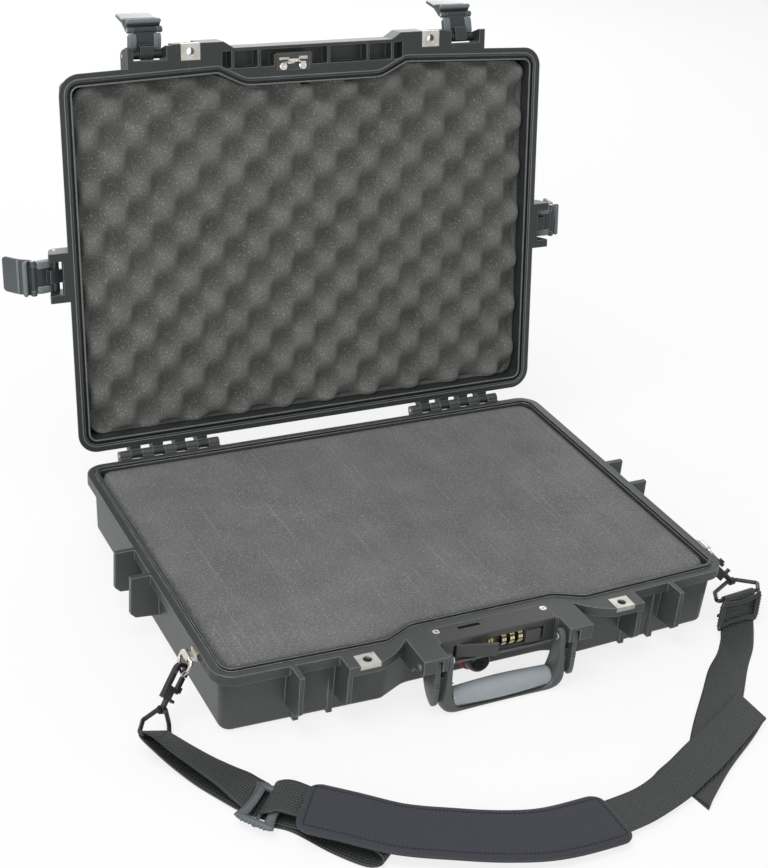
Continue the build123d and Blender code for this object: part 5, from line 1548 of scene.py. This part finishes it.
def makeLeverPlate(name, base, shape):
    # flares to a rounded tip, with a hollow for the finger
    rings = []
    for x, y, nx, ny, thick, cut in leverStations(shape):
        wide = shape["plateHalf"] - cut
        soft = min(shape["plateRound"], thick * 0.6)
        ring = []
        for sx, sz, turn in ((1, 1, 0), (-1, 1, 90), (-1, -1, 180), (1, -1, 270)):
            for step in range(5):
                angle = math.radians(turn + 22.5 * step)
                t = sx * (thick - soft) + soft * math.cos(angle)
                z = sz * (wide - soft) + soft * math.sin(angle)
                if sx < 0 and y < shape["bend"]:
                    t += shape["dish"] * (1 - (z / wide) ** 2)
                ring.append(inPlane(base, x + nx * t, y + ny * t, z))
        rings.append(ring)
    plate = loftMesh(f"leverPlate_{name}", rings, "latch_plastic", f"lever_{name}")
    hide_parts(f"latch_lever_{name}")


def makeLeverRod(name, base, shape):
    (x, y), half = shape["rodSpot"], shape["rodHalf"]
    least, taper = shape["rodEnd"]
    rings = []
    for k in range(shape["rodSteps"] + 1):
        z = -half + 2 * half * k / shape["rodSteps"]
        fat = shape["rodRadius"] * min(1.0, least + (half - abs(z)) / taper)
        spots = [(x + fat * math.cos(a), y + fat * math.sin(a)) for a in turns(shape["rodSides"])]
        rings.append([inPlane(base, *spot, z) for spot in spots])
    # the rod takes the paler copy of the latch plastic: painted highlight
    loftMesh(f"leverRod_{name}", rings, "latchPale", f"lever_{name}")


def makeLatch(name, plan, shape):
    arm, lever = latchPlanes(plan)
    armBody, leverBody = f"arm_{name}", f"lever_{name}"
    # arm cheeks in the paler copy of the latch plastic: painted highlight
    for sign, tag in ((-1, "A"), (1, "B")):
        span = [sign * z for z in shape["cheekSpan"]]
        crossPlate(f"armCheek{tag}_{name}", arm, shape["cheek"], span, "latchPale", armBody, 0.0007)
    makeLeverPlate(name, lever, shape)
    barrel = [(along / 1000, radius / 1000) for along, radius in shape["barrel"]]
    for sign in (-1, 1):
        span = [sign * z for z in shape["tabSpan"]]
        crossPlate(f"leverTab_{name}", lever, shape["tab"], span, "latch_plastic", leverBody, 0.0006)
        start, axis = inPlane(lever, 0, 0, sign * shape["barrelFrom"]), lever[3] * sign
        turnedMesh(f"leverBarrel_{name}", barrel, start, axis, "latch_plastic", leverBody, 32)
    catch, step = (shape["catch"], shape["catchSpan"]), (shape["step"], shape["stepSpan"])
    crossPlate(f"leverCatch_{name}", lever, *catch, "latch_plastic", leverBody, 0.0006)
    makeLeverRod(name, lever, shape)
    # the step in the paler copy of the latch plastic: painted highlight
    crossPlate(f"leverStep_{name}", lever, *step, "latchPale", leverBody, 0.0005)


for name, plan in latchPlan.items():
    makeLatch(name, plan, latchShape)
print("Stage 8: strike and latch details made")

# digits and their brass windows on the three dials
dialDigits = {
    "height": 0.0034,
    "radius": 0.00712,
    "depth": 0.00016,
    "plateHalf": (0.0020, 0.00135),  # across and round the dial
    "plateLevels": (-0.0004, 0.00006),
    "start": 40,  # degrees
}


def digitMesh(plan, digit):
    text = bpy.data.curves.new("digitText", "FONT")
    text.body = str(digit)
    text.size = plan["height"]
    text.align_x, text.align_y = "CENTER", "CENTER"
    text.extrude = plan["depth"]
    carrier = bpy.data.objects.new("digitText", text)
    bpy.context.scene.collection.objects.link(carrier)
    bpy.context.view_layer.update()
    flat = bpy.data.meshes.new_from_object(carrier.evaluated_get(bpy.context.evaluated_depsgraph_get()))
    bpy.data.objects.remove(carrier)
    return flat


def makeDigits(plan, index):
    low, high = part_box(f"dial_{index}")
    wide, tall = plan["plateHalf"]
    sides = [(0, 3, 2, 1), (4, 5, 6, 7), (0, 1, 5, 4), (1, 2, 6, 5), (2, 3, 7, 6), (3, 0, 4, 7)]
    gathered = bmesh.new()
    corners, faces = [], []
    for digit in range(10):
        angle = math.radians(36 * digit + plan["start"])
        place = Matrix.Translation((low + high) / 2) @ Matrix.Rotation(angle, 4, "X")
        place = place @ Matrix.Translation((0, 0, plan["radius"]))
        flat = digitMesh(plan, digit)
        flat.transform(place)
        gathered.from_mesh(flat)
        bpy.data.meshes.remove(flat)
        faces += [tuple(len(corners) + v for v in side) for side in sides]
        for z in plan["plateLevels"]:
            outline = ((-wide, -tall), (wide, -tall), (wide, tall), (-wide, tall))
            corners += [tuple(place @ Vector((x, y, z))) for x, y in outline]
    panel = bpy.data.meshes.new(f"dialPlates{index}")
    panel.from_pydata(corners, [], faces)
    placePiece(f"dialPlates{index}", panel, "digit", f"dial_{index}")
    mesh = bpy.data.meshes.new(f"dialDigits{index}")
    gathered.to_mesh(mesh)
    gathered.free()
    placePiece(f"dialDigits{index}", mesh, "dial_plastic", f"dial_{index}")


for index in (1, 2, 3):
    makeDigits(dialDigits, index)
print("Stage 9: digits made")
